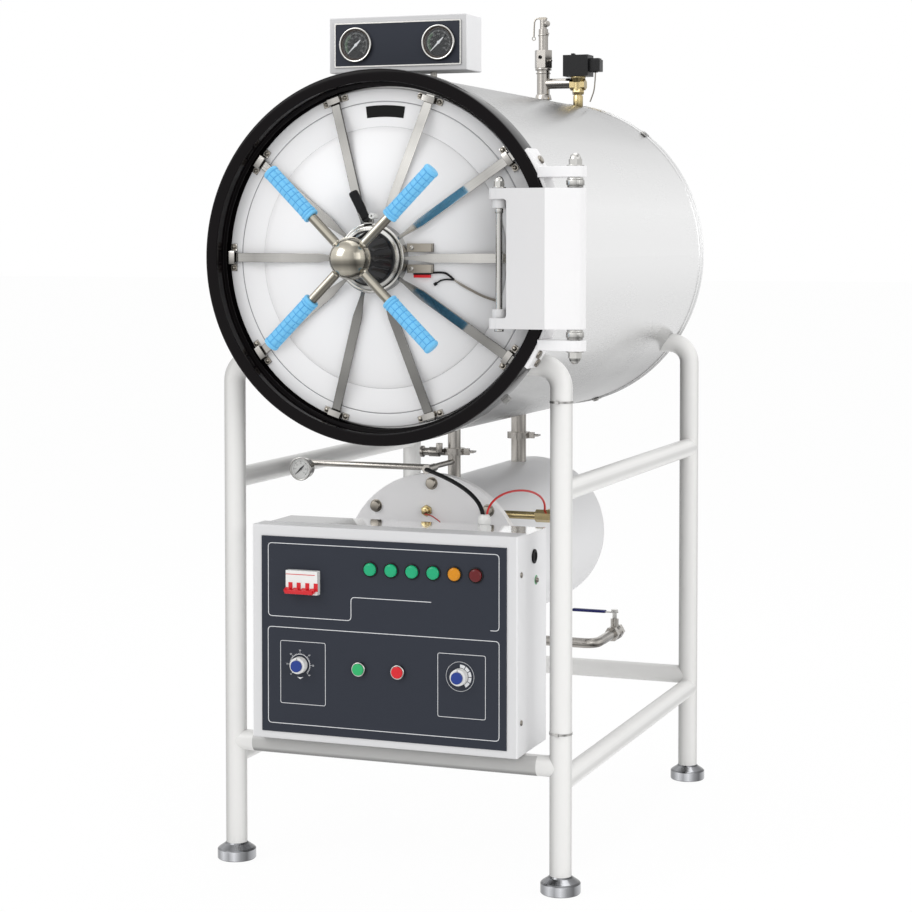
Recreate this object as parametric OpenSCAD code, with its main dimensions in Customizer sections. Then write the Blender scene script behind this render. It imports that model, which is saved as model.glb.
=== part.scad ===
// Horizontal steam autoclave on a tubular stand, in millimetres.
// X runs to the hinge side, Y runs to the rear, Z runs up.
// The origin lies on the floor, midway between the four legs.

/* [Stand] */
// Distance between the left and right leg centres
stand_w = 689; // [680:1:700]
// Distance between the front and rear leg centres
stand_d = 960; // [940:1:980]
// Outer diameter of the stand's tubes
tube_d = 43; // [40:0.5:45]
// Outer diameter of the stand's rails
rail_d = 41; // [38:0.5:42]
// Wall of the stand's tubes
tube_wall = 2.5; // [2:0.5:3]
// Height of the centre line of the legs' inward stubs
arch_z = 1014; // [1005:1:1025]
// Bend radius of the legs
arch_r = 45; // [42:1:48]
// Height of the lower side rails
side_rail_z = 214; // [180:1:230]
// Height of the lower front and rear rails
cross_rail_z = 243; // [235:1:250]
// Height of the upper side rails
upper_rail_z = 773; // [740:1:800]
// Diameter of a foot
foot_d = 78; // [70:1:85]
// Height of a foot
foot_h = 34; // [30:1:40]

/* [Vessel] */
// Height of the vessel's axis
axis_z = 1217; // [1213:1:1221]
// How far the door reaches over the chamber's mouth
seat_w = 27; // [26:0.5:28]
// Wall of the pressure chamber
chamber_wall = 6; // [5:0.5:8]
// Length of the chamber's straight wall
chamber_l = 965; // [940:5:980]
// Depth of the chamber's dished rear head
chamber_head = 62; // [50:1:70]
// How far the locking ring stands out around the jacket
ring_lip = 6; // [4:0.5:8]
// Thickness of the jacket's sheet
jacket_wall = 2; // [1.5:0.5:3]
// Length of the jacket
jacket_l = 1068; // [1055:1:1080]
// Wall of the locking ring around its mouth
ring_wall = 24; // [23:0.5:26]
// Gap between the door and the locking ring
door_gap = 3; // [2.5:0.5:4]
// How much wider the locking ring's mouth is than its bore
mouth_step = 7; // [5:0.5:8]
// Height of the step inside the locking ring
ring_step = 32; // [30:0.5:34]
// Depth of the locking ring
ring_l = 62; // [60:1:64]
// Distance from the stand's middle to the ring's front face
ring_front = 575; // [570:1:580]

/* [Door] */
// Diameter of the door
door_d = 654; // [650:1:656]
// Thickness of the door's rim
rim_t = 16; // [15:0.5:17]
// Gap between the closed door and the chamber's mouth
mouth_gap = 3; // [2.5:0.5:3.5]
// Width of the door's flat rim
rim_w = 75; // [70:1:80]
// How far the dish rises in front of the rim
dish_h = 34; // [31:0.5:34]
// Number of locking bars
bar_n = 10; // [10:1:10]
// Width of a locking bar
bar_w = 18; // [16:0.5:19]
// Thickness of a locking bar
bar_t = 5; // [4:0.5:5]
// Travel of a locking bar
bar_travel = 14; // [12:0.5:14]

/* [Hand wheel] */
// Turn of the hand wheel that moves the bars out, in degrees
wheel_turn = 60; // [58:1:62]
// Diameter of the ball cap
ball_d = 79; // [74:1:82]
// Distance from the ring's front face to the ball's centre
ball_out = 118; // [112:1:124]
// Diameter of a rod
rod_d = 18; // [16:0.5:20]
// Radius from the axis to a grip's inner end
grip_in = 110; // [104:1:118]
// Radius from the axis to a grip's outer end
grip_out = 233; // [222:1:240]
// Diameter of a grip
grip_d = 31; // [28:0.5:34]

/* [Hinge] */
// Distance of the fixed pin outside the locking ring
fixed_reach = 41; // [39:0.5:43]
// How far the fixed pin stands in front of the ring's face
fixed_out = 3; // [2:0.5:4]
// Distance of the door pin inside the door's edge
pin_inset = 69; // [67:0.5:71]
// How far the door pin stands in front of the ring's face
door_pin_out = 17; // [16:0.5:18]
// Height of the link plate
link_h = 261; // [250:1:270]
// Thickness of the link plate
link_t = 11; // [9:0.5:12]

/* [Control box] */
// Width of the front cover
cover_w = 557; // [545:1:570]
// Height of the front cover
cover_h = 426; // [415:1:430]
// Depth of the front cover
cover_l = 56; // [50:1:56]
// Distance from the stand's middle to the cover's front
cover_front = 533; // [528:1:536]
// Depth of the case
case_l = 123; // [115:1:130]
// Width of the dark panel
panel_w = 514; // [504:1:524]
// Height of the dark panel
panel_h = 389; // [380:1:392]

/* [Steam generator] */
// Height of the generator's axis
tank_z = 580; // [574:1:584]
// Outer diameter of the tank
tank_d = 336; // [330:1:342]
// Outer diameter of the flange plate
flange_d = 388; // [380:1:394]
// Distance from the stand's middle to the flange's front
flange_front = 275; // [270:1:280]
// Length of the tank
tank_l = 690; // [670:5:700]

/* [Gauge box] */
// Width of the gauge box
gauge_box_w = 290; // [280:1:300]
// Height of the gauge box
gauge_box_h = 108; // [104:1:114]
// Depth of the gauge box
gauge_box_l = 82; // [76:1:86]
// Diameter of a gauge's bezel
gauge_d = 66; // [62:1:70]
// Distance between the two gauges
gauge_gap = 174; // [168:1:180]

/* [Hidden] */
$fn = 64;

// One overrun serves every cut, and one fit clearance every turning pin
over = 1;
pin_fit = 0.05;
soft_gap = 0.3;
steel = [0.78, 0.78, 0.77];
white = [0.93, 0.93, 0.94];
black = [0.04, 0.035, 0.035];
dark = [0.16, 0.17, 0.21];
brass = [0.75, 0.6, 0.3];
blue = [0.2, 0.6, 0.93];

// Vessel
mouth_y = ring_l - ring_front;
door_r = door_d / 2;
bore_r = door_r + door_gap;
mouth_r = bore_r + mouth_step;
ring_r = mouth_r + ring_wall;
ring_d = 2 * ring_r;
jacket_r = ring_r - ring_lip;
jacket_in = jacket_r - jacket_wall;
chamber_r = door_r - seat_w;
chamber_out = chamber_r + chamber_wall;
ring_round = 5;
mouth_flange = 18;
skirt_l = 22;
skirt_t = 1.5;
// Number of straight steps along a curved profile
steps = 12;

// Door
dish_r = door_r - rim_w;
rim_front = mouth_gap + rim_t;
dish_flat = 70;
crown = rim_front + rim_step() + dish_h;
groove_in = 25;
groove_r = door_r - groove_in;
groove_w = 2;
shell_t = 8;
seal_off = 9;
seal_w = 12;
seal_out = door_r - seal_off;
seal_in = seal_out - seal_w;
seal_depth = 7;
function rim_step() = 2;
function dish_front(r) = crown - dish_h * pow(max(r - dish_flat, 0) / (dish_r - dish_flat), 2);

// Hub housing, bars and scroll
hub_r = 67;
hub_wall = 6;
hub_floor = 5;
hub_l = 25;
hub_front = crown + hub_l;
spindle_r = 12;
scroll_r = 60;
scroll_t = 7.5;
scroll_back = hub_front + soft_gap + pin_fit;
scroll_front = scroll_back + scroll_t;
tip_out = 1;
bar_tip = door_r + tip_out;
bar_lift = bar_t / 2 + 1.9;
bar_rim_z = rim_front + bar_lift;
bar_hub_z = hub_front - 11;
bar_tilt = atan2(bar_hub_z - bar_rim_z, bar_tip - hub_r);
neck_w = 9;
neck_r = 80;
taper_r = 125;
neck_end = 27;
pin_in = 32;
bar_pin_r = 2.5;
slot_w = 5.6;
slot_ease = 0.4;
bar_step = 360 / bar_n;
pocket_w = bar_w + 4;
pocket_t = 12;
pocket_r = bar_tip + bar_travel + 3;
function along(r) = (r - bar_tip) / cos(bar_tilt);
function bar_z(r) = bar_rim_z + (bar_tip - r) * tan(bar_tilt);
pin_out = pin_in + bar_travel * cos(bar_tilt);

// Guides over the bars
guide_l = 12;
guide_back = 3;
guide_out = door_r - guide_back;
guide_in = guide_out - guide_l;
guide_t = 2.5;
guide_roof = bar_z(guide_in) + bar_t;
guide_side = bar_w / 2 + 2;
guide_ear = 14;
guide_screw_r = 4.5;
guide_screw_h = 3;

// Hand wheel
ball_z = ring_l + ball_out;
rod_n = 4;
boss_rim_r = 57;
boss_rim_t = 4;
boss_base_r = 52;
boss_tip_r = 32;
boss_top = ball_z - 20;
flute_n = 14;
flute_r = 4;
collar_t = 6;

// Interlock lever
lever_pivot = [-6, 75];
lever_angle = 118;
lever_pin_r = 3;
lever_hub_r = 9;
sleeve_r = 8;
sleeve_from = 20;
sleeve_to = 76;
lever_z = scroll_back + sleeve_r;
ear_t = 8;

// Hinge
fixed_x = ring_r + fixed_reach;
door_pin_x = door_r - pin_inset;
bend_reach = 50;
fixed_y = -ring_front - fixed_out;
door_pin_y = -ring_front - door_pin_out;
link_half = link_h / 2;
link_front = door_pin_y - 18;
boss_r = 20;
fixed_pin_r = 8;
door_pin_r = 6.5;
link_lug_h = 20;
link_lug_r = 15;
plate_x = door_pin_x + 20;
bend_x = fixed_x - bend_reach;
collar_h = 18;
collar_r = 17;
bracket_lug_h = 20;
bracket_lug_z = link_half + collar_h + 1.5;
bracket_pad_t = 8;
bracket_half = 34;
door_lug_h = 17;
door_lug_top = link_half - link_lug_h - 0.5;
door_lug_r = 13;
nut_r = 11;
nut_h = 9;

// Top valves on the riser
top_y = 446;
riser_r = 15;
cross_r = 12;
riser_top = 1652;
cross_z = 1615;
vent_x = 85;
hex_r = 21;
hex_h = 41;
relief_r = 11;
relief_h = 49;
cap_r = 8;
cap_h = 28;
relief_top = riser_top + hex_h + relief_h + cap_h;
coil_w = 60;
coil_l = 46;
coil_h = 49;

// Generator and its pipes
tank_r = tank_d / 2;
tank_wall = 4;
flange_t = 20;
flange_y = -flange_front;
tank_y = flange_y + flange_t;
bolt_ring = 174;
bolt_n = 8;
bolt_r = 11;
bolt_h = 9;
front_riser_y = -144;
front_riser_r = 13.5;
rear_riser_y = 272;
rear_riser_r = 17;
clamp_z = 808;
clamp_r = 27;
clamp_h = 14;
heater_n = 3;
heater_ring = 118;
heater_r = 6;
heater_room = 170;
heater_l = tank_l - heater_room;
heater_gap = 40;
line_r = 6.5;
line_y = -287;
line_z = 787;
small_gauge_x = -277;
small_gauge_z = 777;
small_gauge_d = 49;
small_gauge_l = 24;
drain_r = 11;
drain_y = 170;
drain_x = 215;
drain_z = 360;
drain_bend = 27;
valve_y = 318;
valve_r = 17;
valve_l = 56;
feed_z = 692;
feed_y = -235;
feed_x = 212;
feed_l = 36;
feed_r = 13;

// Box positions
case_z = cross_rail_z + rail_d / 2;
cover_y = -cover_front;
panel_t = 2;
panel_z = case_z + 209.5;
sheet = 1.5;
box_x = -3.5;
case_w = cover_w - 2 * sheet;
case_h = cover_h - 4;
lamp_z = case_z + 348.5;
lamp_pitch = 43.7;
lamp_x = -26.8;
lamp_n = 6;
lamp_r = 13.5;
lamp_rim_r = 15.5;
lamp_h = 7;
fitting_r = 11;
fitting_l = 45;
knob_z = case_z + 151.5;
timer_x = -177.4;
temperature_x = 159.2;
knob_r = 16.5;
knob_cap_r = 10.5;
knob_h = 8;
knob_cap_h = 14;
shaft_r = 3;
knob_gap = 0.6;
start_x = -50.8;
stop_x = 31.3;
button_r = 11;
bezel_r = 14.5;
bezel_h = 6;
button_out = 4;
button_travel = 3.5;
breaker_x = -170;
breaker_z = case_z + 316.5;
breaker_w = 72;
breaker_h = 47;
breaker_out = 14;
breaker_in = 55;
toggle_n = 4;
toggle_w = 12;
toggle_h = 6;
toggle_down = 10;
toggle_tilt = 25;
toggle_reach = 16;
toggle_back = 3;
link_bar_t = 4;
link_bar_h = 8;
window_w = toggle_w + 2;
window_l = 14;
window_low = 9;
window_h = 16;
gland_x = 183;
gland_y = -464;
gland_r = 12;
gland_h = 44;
gland_in = 8;
gland_nut = 9;
gland_wall = 3;
gland_mouth = 7;

// Gauge box
gauge_z = jacket_r + axis_z + 8;
gauge_y = -458;
gauge_mid = gauge_z + gauge_box_h / 2;
case_share = 0.88;
gauge_case_r = gauge_d / 2 * case_share;
gauge_case_l = 26;
bezel_out = 7;
needle_l = 24;
needle_w = 3;
needle_t = 1;

// Frame of the door and ring: z points to the front, x right and y up, from the chamber's mouth
module at_mouth(z = 0)
  translate([0, mouth_y, axis_z]) rotate([90, 0, 0]) translate([0, 0, z]) children();

// Tube along z, open at both ends
module pipe(r, l, wall) {
  difference() {
    cylinder(r = r, h = l);
    translate([0, 0, -over]) cylinder(r = r - wall, h = l + 2 * over);
  }
}

// Hexagonal nut with a domed cap, along z
module acorn_nut(r, h) {
  cylinder(r = r, h = h, $fn = 6);
  translate([0, 0, h]) intersection() {
    cylinder(r = r * cap_share, h = r);
    scale(dome_share) sphere(r = r);
  }
}
cap_share = 0.86;
dome_share = 0.9;

// Tube swept along points, for leads
function unit(v) = v / norm(v);
function side_of(d) = unit(abs(d.z) < 0.9 ? cross(d, [0, 0, 1]) : cross(d, [1, 0, 0]));
function tangent(p, i) = unit(p[min(i + 1, len(p) - 1)] - p[max(i - 1, 0)]);
function ring_at(p, i, r, n) = let (d = tangent(p, i), s = side_of(d), t = cross(d, s))
  [for (k = [0:n - 1]) p[i] + r * (cos(360 * k / n) * s + sin(360 * k / n) * t)];
module sweep(p, r, n = 8) {
  m = len(p);
  polyhedron(
    points = [for (i = [0:m - 1]) each ring_at(p, i, r, n)],
    faces = concat(
      [[for (k = [n - 1:-1:0]) k]],
      [for (i = [0:m - 2]) for (k = [0:n - 1]) [i * n + k, i * n + (k + 1) % n,
        (i + 1) * n + (k + 1) % n]],
      [for (i = [0:m - 2]) for (k = [0:n - 1]) [i * n + k, (i + 1) * n + (k + 1) % n,
        (i + 1) * n + k]],
      [[for (k = [0:n - 1]) (m - 1) * n + k]]));
}
// Smooth curve through four points
function curve(a, b, c, d, n) = [for (i = [0:n]) let (t = i / n, u = 1 - t)
  u * u * u * a + 3 * u * u * t * b + 3 * u * t * t * c + t * t * t * d];

// Stand: legs bent inward at the top, and rails welded into their walls
module leg_run(r, l) {
  bend_x = stand_w / 2 - arch_r;
  translate([stand_w / 2, 0, foot_h]) cylinder(r = r, h = arch_z - arch_r - foot_h);
  translate([bend_x, 0, arch_z - arch_r]) rotate([90, 0, 0])
    rotate_extrude(angle = 90) translate([arch_r, 0]) circle(r = r);
  translate([bend_x, 0, arch_z]) rotate([0, -90, 0]) cylinder(r = r, h = l);
}

stub_l = stand_w / 2 - arch_r;
module leg() difference() {
  leg_run(tube_d / 2, stub_l);
  leg_run(tube_d / 2 - tube_wall, stub_l + over);
  translate([0, stand_d / 2, axis_z]) rotate([90, 0, 0]) cylinder(r = jacket_r, h = stand_d);
}

module frame() color(white) {
  for (y = [-1, 1]) for (x = [0, 1]) translate([0, y * stand_d / 2, 0]) mirror([x, 0, 0]) leg();
  for (s = [-1, 1]) translate([0, s * stand_d / 2, cross_rail_z]) rotate([0, 90, 0])
    rail_across(stand_w);
  for (s = [-1, 1]) for (z = [side_rail_z, upper_rail_z])
    translate([s * stand_w / 2, 0, z]) rotate([90, 0, 0]) rail_along(stand_d);
}
module rail_across(l) difference() {
  translate([0, 0, -l / 2]) pipe(rail_d / 2, l, tube_wall);
  for (s = [-1, 1]) translate([0, 0, s * l / 2]) rotate([0, 90, 0]) leg_cut();
}
module rail_along(l) difference() {
  translate([0, 0, -l / 2]) pipe(rail_d / 2, l, tube_wall);
  for (s = [-1, 1]) translate([0, 0, s * l / 2]) rotate([90, 0, 0]) leg_cut();
}
module leg_cut() cylinder(r = (tube_d - tube_wall) / 2, h = 2 * tube_d, center = true);

module feet() color(steel)
  for (x = [-1, 1]) for (y = [-1, 1]) translate([x * stand_w / 2, y * stand_d / 2, 0]) {
    band = foot_h * band_share;
    cylinder(d = foot_d, h = band);
    translate([0, 0, band]) cylinder(d1 = foot_d, d2 = tube_d, h = foot_h - band);
    translate([0, 0, foot_h]) cylinder(d = tube_d - 2 * tube_wall - 1, h = foot_h);
  }
band_share = 0.62;

// Vessel
function head_arc(r, h) = [for (i = [0:steps]) [r * cos(90 * i / steps), -chamber_l - h * sin(90 * i / steps)]];

module vessel_pipes(extra = 0) {
  translate([0, front_riser_y, 0]) cylinder(r = front_riser_r + extra, h = axis_z);
  translate([0, rear_riser_y, 0]) cylinder(r = rear_riser_r + extra, h = axis_z);
  translate([0, top_y, axis_z]) cylinder(r = riser_r + extra, h = jacket_r);
  translate([vent_x, top_y, axis_z]) cylinder(r = vent_nipple_r + extra, h = jacket_r);
  translate([gauge_line_x, gauge_y + gauge_box_l / 2, axis_z])
    cylinder(r = line_r + extra, h = jacket_r);
}
vent_nipple_r = 9;
gauge_line_x = 60;

module chamber() color(steel) difference() {
  at_mouth() rotate_extrude($fn = 128) polygon(concat(
    [[chamber_r, 0], [jacket_in, 0], [jacket_in, -mouth_flange], [chamber_out, -mouth_flange]],
    head_arc(chamber_out, chamber_head + chamber_wall),
    [for (p = head_arc(chamber_r, chamber_head)) [p.x, p.y]][0] == undef ? []
      : [for (i = [steps:-1:0]) head_arc(chamber_r, chamber_head)[i]]));
  vessel_pipes();
}

module insulation() color([0.85, 0.8, 0.6]) difference() {
  at_mouth() rotate_extrude($fn = 128) polygon([[chamber_out, -mouth_flange],
    [jacket_in, -mouth_flange], [jacket_in, -chamber_l], [chamber_out, -chamber_l]]);
  vessel_pipes();
}

module jacket() color(steel) difference() {
  at_mouth(-jacket_l) pipe(jacket_r, jacket_l, jacket_wall, $fn = 128);
  vessel_pipes();
}

module rear_cover() color(steel) at_mouth(-jacket_l) {
  difference() {
    translate([0, 0, -sheet]) cylinder(r = jacket_r + skirt_t, h = skirt_l + sheet, $fn = 128);
    cylinder(r = jacket_r, h = skirt_l + over, $fn = 128);
  }
  translate([0, 0, -sheet - cover_bulge]) cylinder(r1 = jacket_r * bulge_share, r2 = jacket_r - skirt_l,
    h = cover_bulge, $fn = 128);
}
cover_bulge = 10;
bulge_share = 0.86;

module locking_ring() color(black) at_mouth() difference() {
  rotate_extrude($fn = 128) polygon([[bore_r, 0], [ring_r, 0],
    for (i = [0:4]) [ring_r - ring_round + ring_round * cos(90 * i / 4),
      ring_l - ring_round + ring_round * sin(90 * i / 4)],
    [mouth_r + ring_round / 2, ring_l], [mouth_r, ring_l - ring_round / 2],
    [mouth_r, ring_step], [bore_r, ring_step]]);
  for (i = [0:bar_n - 1]) rotate([0, 0, i * bar_step])
    translate([bore_r - over, -pocket_w / 2, bar_z(bore_r) - pocket_t * pocket_share])
      cube([pocket_r - bore_r + over, pocket_w, pocket_t]);
}
pocket_share = 0.66;

tray_w = 400;
tray_l = 880;
tray_t = 3;
tray_drop_share = 17 / 30;
tray_drop = chamber_r * tray_drop_share;
tray_lip = 14;
tray_start = 40;
tray_hole_r = 11;
runner_t = 4;
runner_h = 54;
module loading_tray() color(steel) {
  at_mouth(-tray_start - tray_l) {
    difference() {
      translate([-tray_w / 2, -tray_drop - tray_t, 0]) cube([tray_w, tray_t, tray_l]);
      for (i = [0:4]) for (k = [0:8])
        translate([(i - 2) * tray_w / 5.5, -tray_drop - tray_t - over, (k + 1) * tray_l / 10])
          rotate([-90, 0, 0]) cylinder(r = tray_hole_r, h = tray_t + 2 * over);
    }
    for (s = [-1, 1]) translate([s * (tray_w - tray_t) / 2 - tray_t / 2, -tray_drop, 0])
      cube([tray_t, tray_lip, tray_l]);
    intersection() {
      for (s = [-1, 1]) translate([s * (tray_w / 2 - runner_h) - runner_t / 2,
        -tray_drop - tray_t - chamber_r, 0]) cube([runner_t, chamber_r, tray_l]);
      cylinder(r = chamber_r, h = tray_l, $fn = 128);
    }
  }
}

// Hinge on the ring
module lug_shape(z) translate([0, 0, z]) difference() {
  union() {
    translate([fixed_x, fixed_y, 0]) cylinder(r = boss_r + 1, h = bracket_lug_h);
    linear_extrude(bracket_lug_h) polygon([[fixed_x, fixed_y - boss_r - 1],
      [fixed_x, fixed_y + boss_r + 1], [fixed_x - boss_r, mouth_y], [ring_r * lug_share, mouth_y],
      [ring_r * lug_share, -ring_front], [fixed_x - boss_r, fixed_y - boss_r - 1]]);
  }
  translate([fixed_x, fixed_y, -over]) cylinder(r = fixed_pin_r, h = bracket_lug_h + 2 * over);
}
lug_share = 0.85;

module hinge_bracket() color(white) difference() {
  union() {
    at_mouth() intersection() {
      difference() {
        cylinder(r = ring_r + bracket_pad_t, h = ring_l - ring_round, $fn = 128);
        translate([0, 0, -over]) cylinder(r = ring_r, h = ring_l + over, $fn = 128);
      }
      linear_extrude(ring_l) polygon([[0, 0], [ring_d, ring_d * tan(bracket_half)],
        [ring_d, -ring_d * tan(bracket_half)]]);
    }
    translate([0, 0, axis_z]) {
      lug_shape(bracket_lug_z);
      lug_shape(-bracket_lug_z - bracket_lug_h);
    }
  }
  translate([0, over, 0]) at_mouth() cylinder(r = ring_r, h = 2 * ring_l, $fn = 128);
}

module hinge_post() color(steel) translate([fixed_x, fixed_y, axis_z]) {
  post_h = bracket_lug_z + bracket_lug_h;
  translate([0, 0, -post_h]) cylinder(r = fixed_pin_r, h = 2 * post_h);
  for (s = [0, 1]) mirror([0, 0, s]) {
    translate([0, 0, post_h]) {
      cylinder(r = nut_r + 1, h = 2);
      translate([0, 0, 2]) acorn_nut(nut_r, nut_h);
    }
    translate([0, 0, link_half + (bracket_lug_z - link_half - collar_h) / 2])
      cylinder(r = collar_r, h = collar_h);
  }
}

// Fasteners on the fixed parts
module bolt_head(r, h) {
  cylinder(r = r, h = h * head_share);
  translate([0, 0, h * head_share]) cylinder(r1 = r, r2 = r * head_share, h = h * (1 - head_share));
}
head_share = 0.6;
cover_screw_zs = [66, 350];
cover_screw_in = 21;
screw_r = 4;
screw_h = 2;
bracket_screw_r = 6;
bracket_screw_angles = [-33, -28.5, 30];
clip_angles = [-38, -73, -128, 52];
module bolts() color(steel) {
  translate([0, flange_y, tank_z]) rotate([90, 0, 0]) for (i = [0:bolt_n - 1])
    rotate([0, 0, 90 + i * 360 / bolt_n]) translate([bolt_ring, 0, 0]) bolt_head(bolt_r, bolt_h);
  for (s = [-1, 1]) for (z = cover_screw_zs)
    translate([box_x + s * cover_w / 2, cover_y + cover_screw_in, case_z + z]) rotate([0, s * 90, 0])
      bolt_head(screw_r, screw_h);
  at_mouth(ring_l / 2) for (a = bracket_screw_angles) rotate([0, 0, a])
    translate([ring_r + bracket_pad_t, 0, 0]) rotate([0, 90, 0]) bolt_head(bracket_screw_r, bolt_h / 2);
  for (a = clip_angles) at_mouth(-jacket_l) rotate([0, 0, a])
    translate([jacket_r + skirt_t, -clip_w / 2, -sheet]) cube([clip_t, clip_w, skirt_l + clip_w]);
  at_mouth(-clip_w - 2) rotate([0, 0, -48]) translate([jacket_r, -clip_w / 2, 0])
    cube([clip_w, clip_w, clip_w]);
}
clip_w = 14;
clip_t = 3;

// Gauge box and gauges
module gauge_box() color(white) translate([-gauge_box_w / 2, gauge_y, gauge_z]) difference() {
  cube([gauge_box_w, gauge_box_l, gauge_box_h]);
  translate([sheet, sheet, sheet])
    cube([gauge_box_w - 2 * sheet, gauge_box_l - 2 * sheet, gauge_box_h - 2 * sheet]);
  for (s = [-1, 1]) translate([gauge_box_w / 2 + s * gauge_gap / 2, -over, gauge_box_h / 2])
    rotate([-90, 0, 0]) cylinder(r = gauge_case_r, h = sheet + 2 * over);
  translate([gauge_box_w / 2 + gauge_line_x, gauge_box_l / 2, -over])
    cylinder(r = line_r, h = sheet + 2 * over);
}

// One gauge: case, bezel, dial and glass, facing -y with the dial's centre at the origin
module gauge(r, l, out) {
  case_r = r * case_share;
  rotate([90, 0, 0]) {
    color(steel) difference() {
      union() {
        translate([0, 0, -l]) cylinder(r = case_r, h = l);
        cylinder(r = r, h = out);
      }
      translate([0, 0, -l + sheet]) cylinder(r = case_r - 2 * sheet, h = l + out);
      translate([0, 0, out / 2]) cylinder(r = r - 2 * sheet, h = out);
    }
    color(black) translate([0, 0, -2 * sheet]) difference() {
      cylinder(r = case_r - 2 * sheet, h = sheet);
      translate([0, 0, -over]) cylinder(r = needle_pin + pin_fit, h = sheet + 2 * over);
    }
    color([0.8, 0.9, 0.95, 0.3]) translate([0, 0, out / 2]) cylinder(r = r - 2 * sheet, h = sheet / 2);
  }
}
needle_pin = 1.5;
gauge_plate = 1.5;

module gauges() {
  color(dark) translate([-gauge_box_w / 2 + gauge_margin, gauge_y - gauge_plate, gauge_z + gauge_margin])
    difference() {
      cube([gauge_box_w - 2 * gauge_margin, gauge_plate, gauge_box_h - 2 * gauge_margin]);
      for (s = [-1, 1]) translate([gauge_box_w / 2 - gauge_margin + s * gauge_gap / 2, -over,
        gauge_box_h / 2 - gauge_margin]) rotate([-90, 0, 0])
          cylinder(r = gauge_case_r + soft_gap, h = gauge_plate + 2 * over);
    }
  for (s = [-1, 1]) translate([s * gauge_gap / 2, gauge_y - gauge_plate, gauge_mid])
    gauge(gauge_d / 2, gauge_case_l, bezel_out);
  translate([small_gauge_x, line_y - small_gauge_l, small_gauge_z])
    gauge(small_gauge_d / 2, small_gauge_l, bezel_out * small_share);
}
gauge_margin = 12;
small_share = 0.7;

// A needle that turns in front of its dial, on a short pin
module needle(l, angle) {
  rotate([90, 0, 0]) rotate([0, 0, angle]) {
    translate([0, 0, -3 * sheet]) cylinder(r = needle_pin, h = 3 * sheet + needle_t);
    translate([0, 0, -sheet + soft_gap]) {
      cylinder(r = 2 * needle_pin, h = needle_t);
      translate([-l * tail_share, -needle_w / 2, 0]) cube([l * (1 + tail_share), needle_w, needle_t]);
    }
  }
}
tail_share = 0.3;
rest_angle = 225;
module needle_left() color(white) translate([-gauge_gap / 2, gauge_y - gauge_plate, gauge_mid])
  needle(needle_l * tip_share, rest_angle);
module needle_right() color(white) translate([gauge_gap / 2, gauge_y - gauge_plate, gauge_mid])
  needle(needle_l * tip_share, rest_angle);
module needle_small() color(black)
  translate([small_gauge_x, line_y - small_gauge_l, small_gauge_z]) needle(small_gauge_d / 3, rest_angle);
tip_share = 0.9;

// Pipes
module riser(y, r) translate([0, y, 0]) difference() {
  translate([0, 0, tank_z]) pipe(r, axis_z - chamber_r - chamber_wall / 2 - tank_z, 2);
  translate([0, -tank_l, tank_z - 0]) rotate([-90, 0, 0]) cylinder(r = tank_r, h = 2 * tank_l);
}

module clamp(y, r, side) translate([0, y, clamp_z]) {
  difference() {
    cylinder(r = r + clamp_r / 3, h = clamp_h, center = true);
    cylinder(r = r, h = clamp_h + 2 * over, center = true);
  }
  translate([r + clamp_r / 3 - 2, -clamp_h / 4, -clamp_h / 2]) cube([clamp_r / 2, clamp_h / 2, clamp_h]);
  translate([r + clamp_r * wing_share, 0, 0]) rotate([0, 90, 0]) cylinder(r = 3, h = clamp_r / 2);
  translate([r + clamp_r * (wing_share + 0.3), -clamp_h * 0.9, -2]) cube([clamp_h / 2, clamp_h * 1.8, 4]);
}
wing_share = 0.6;

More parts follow.
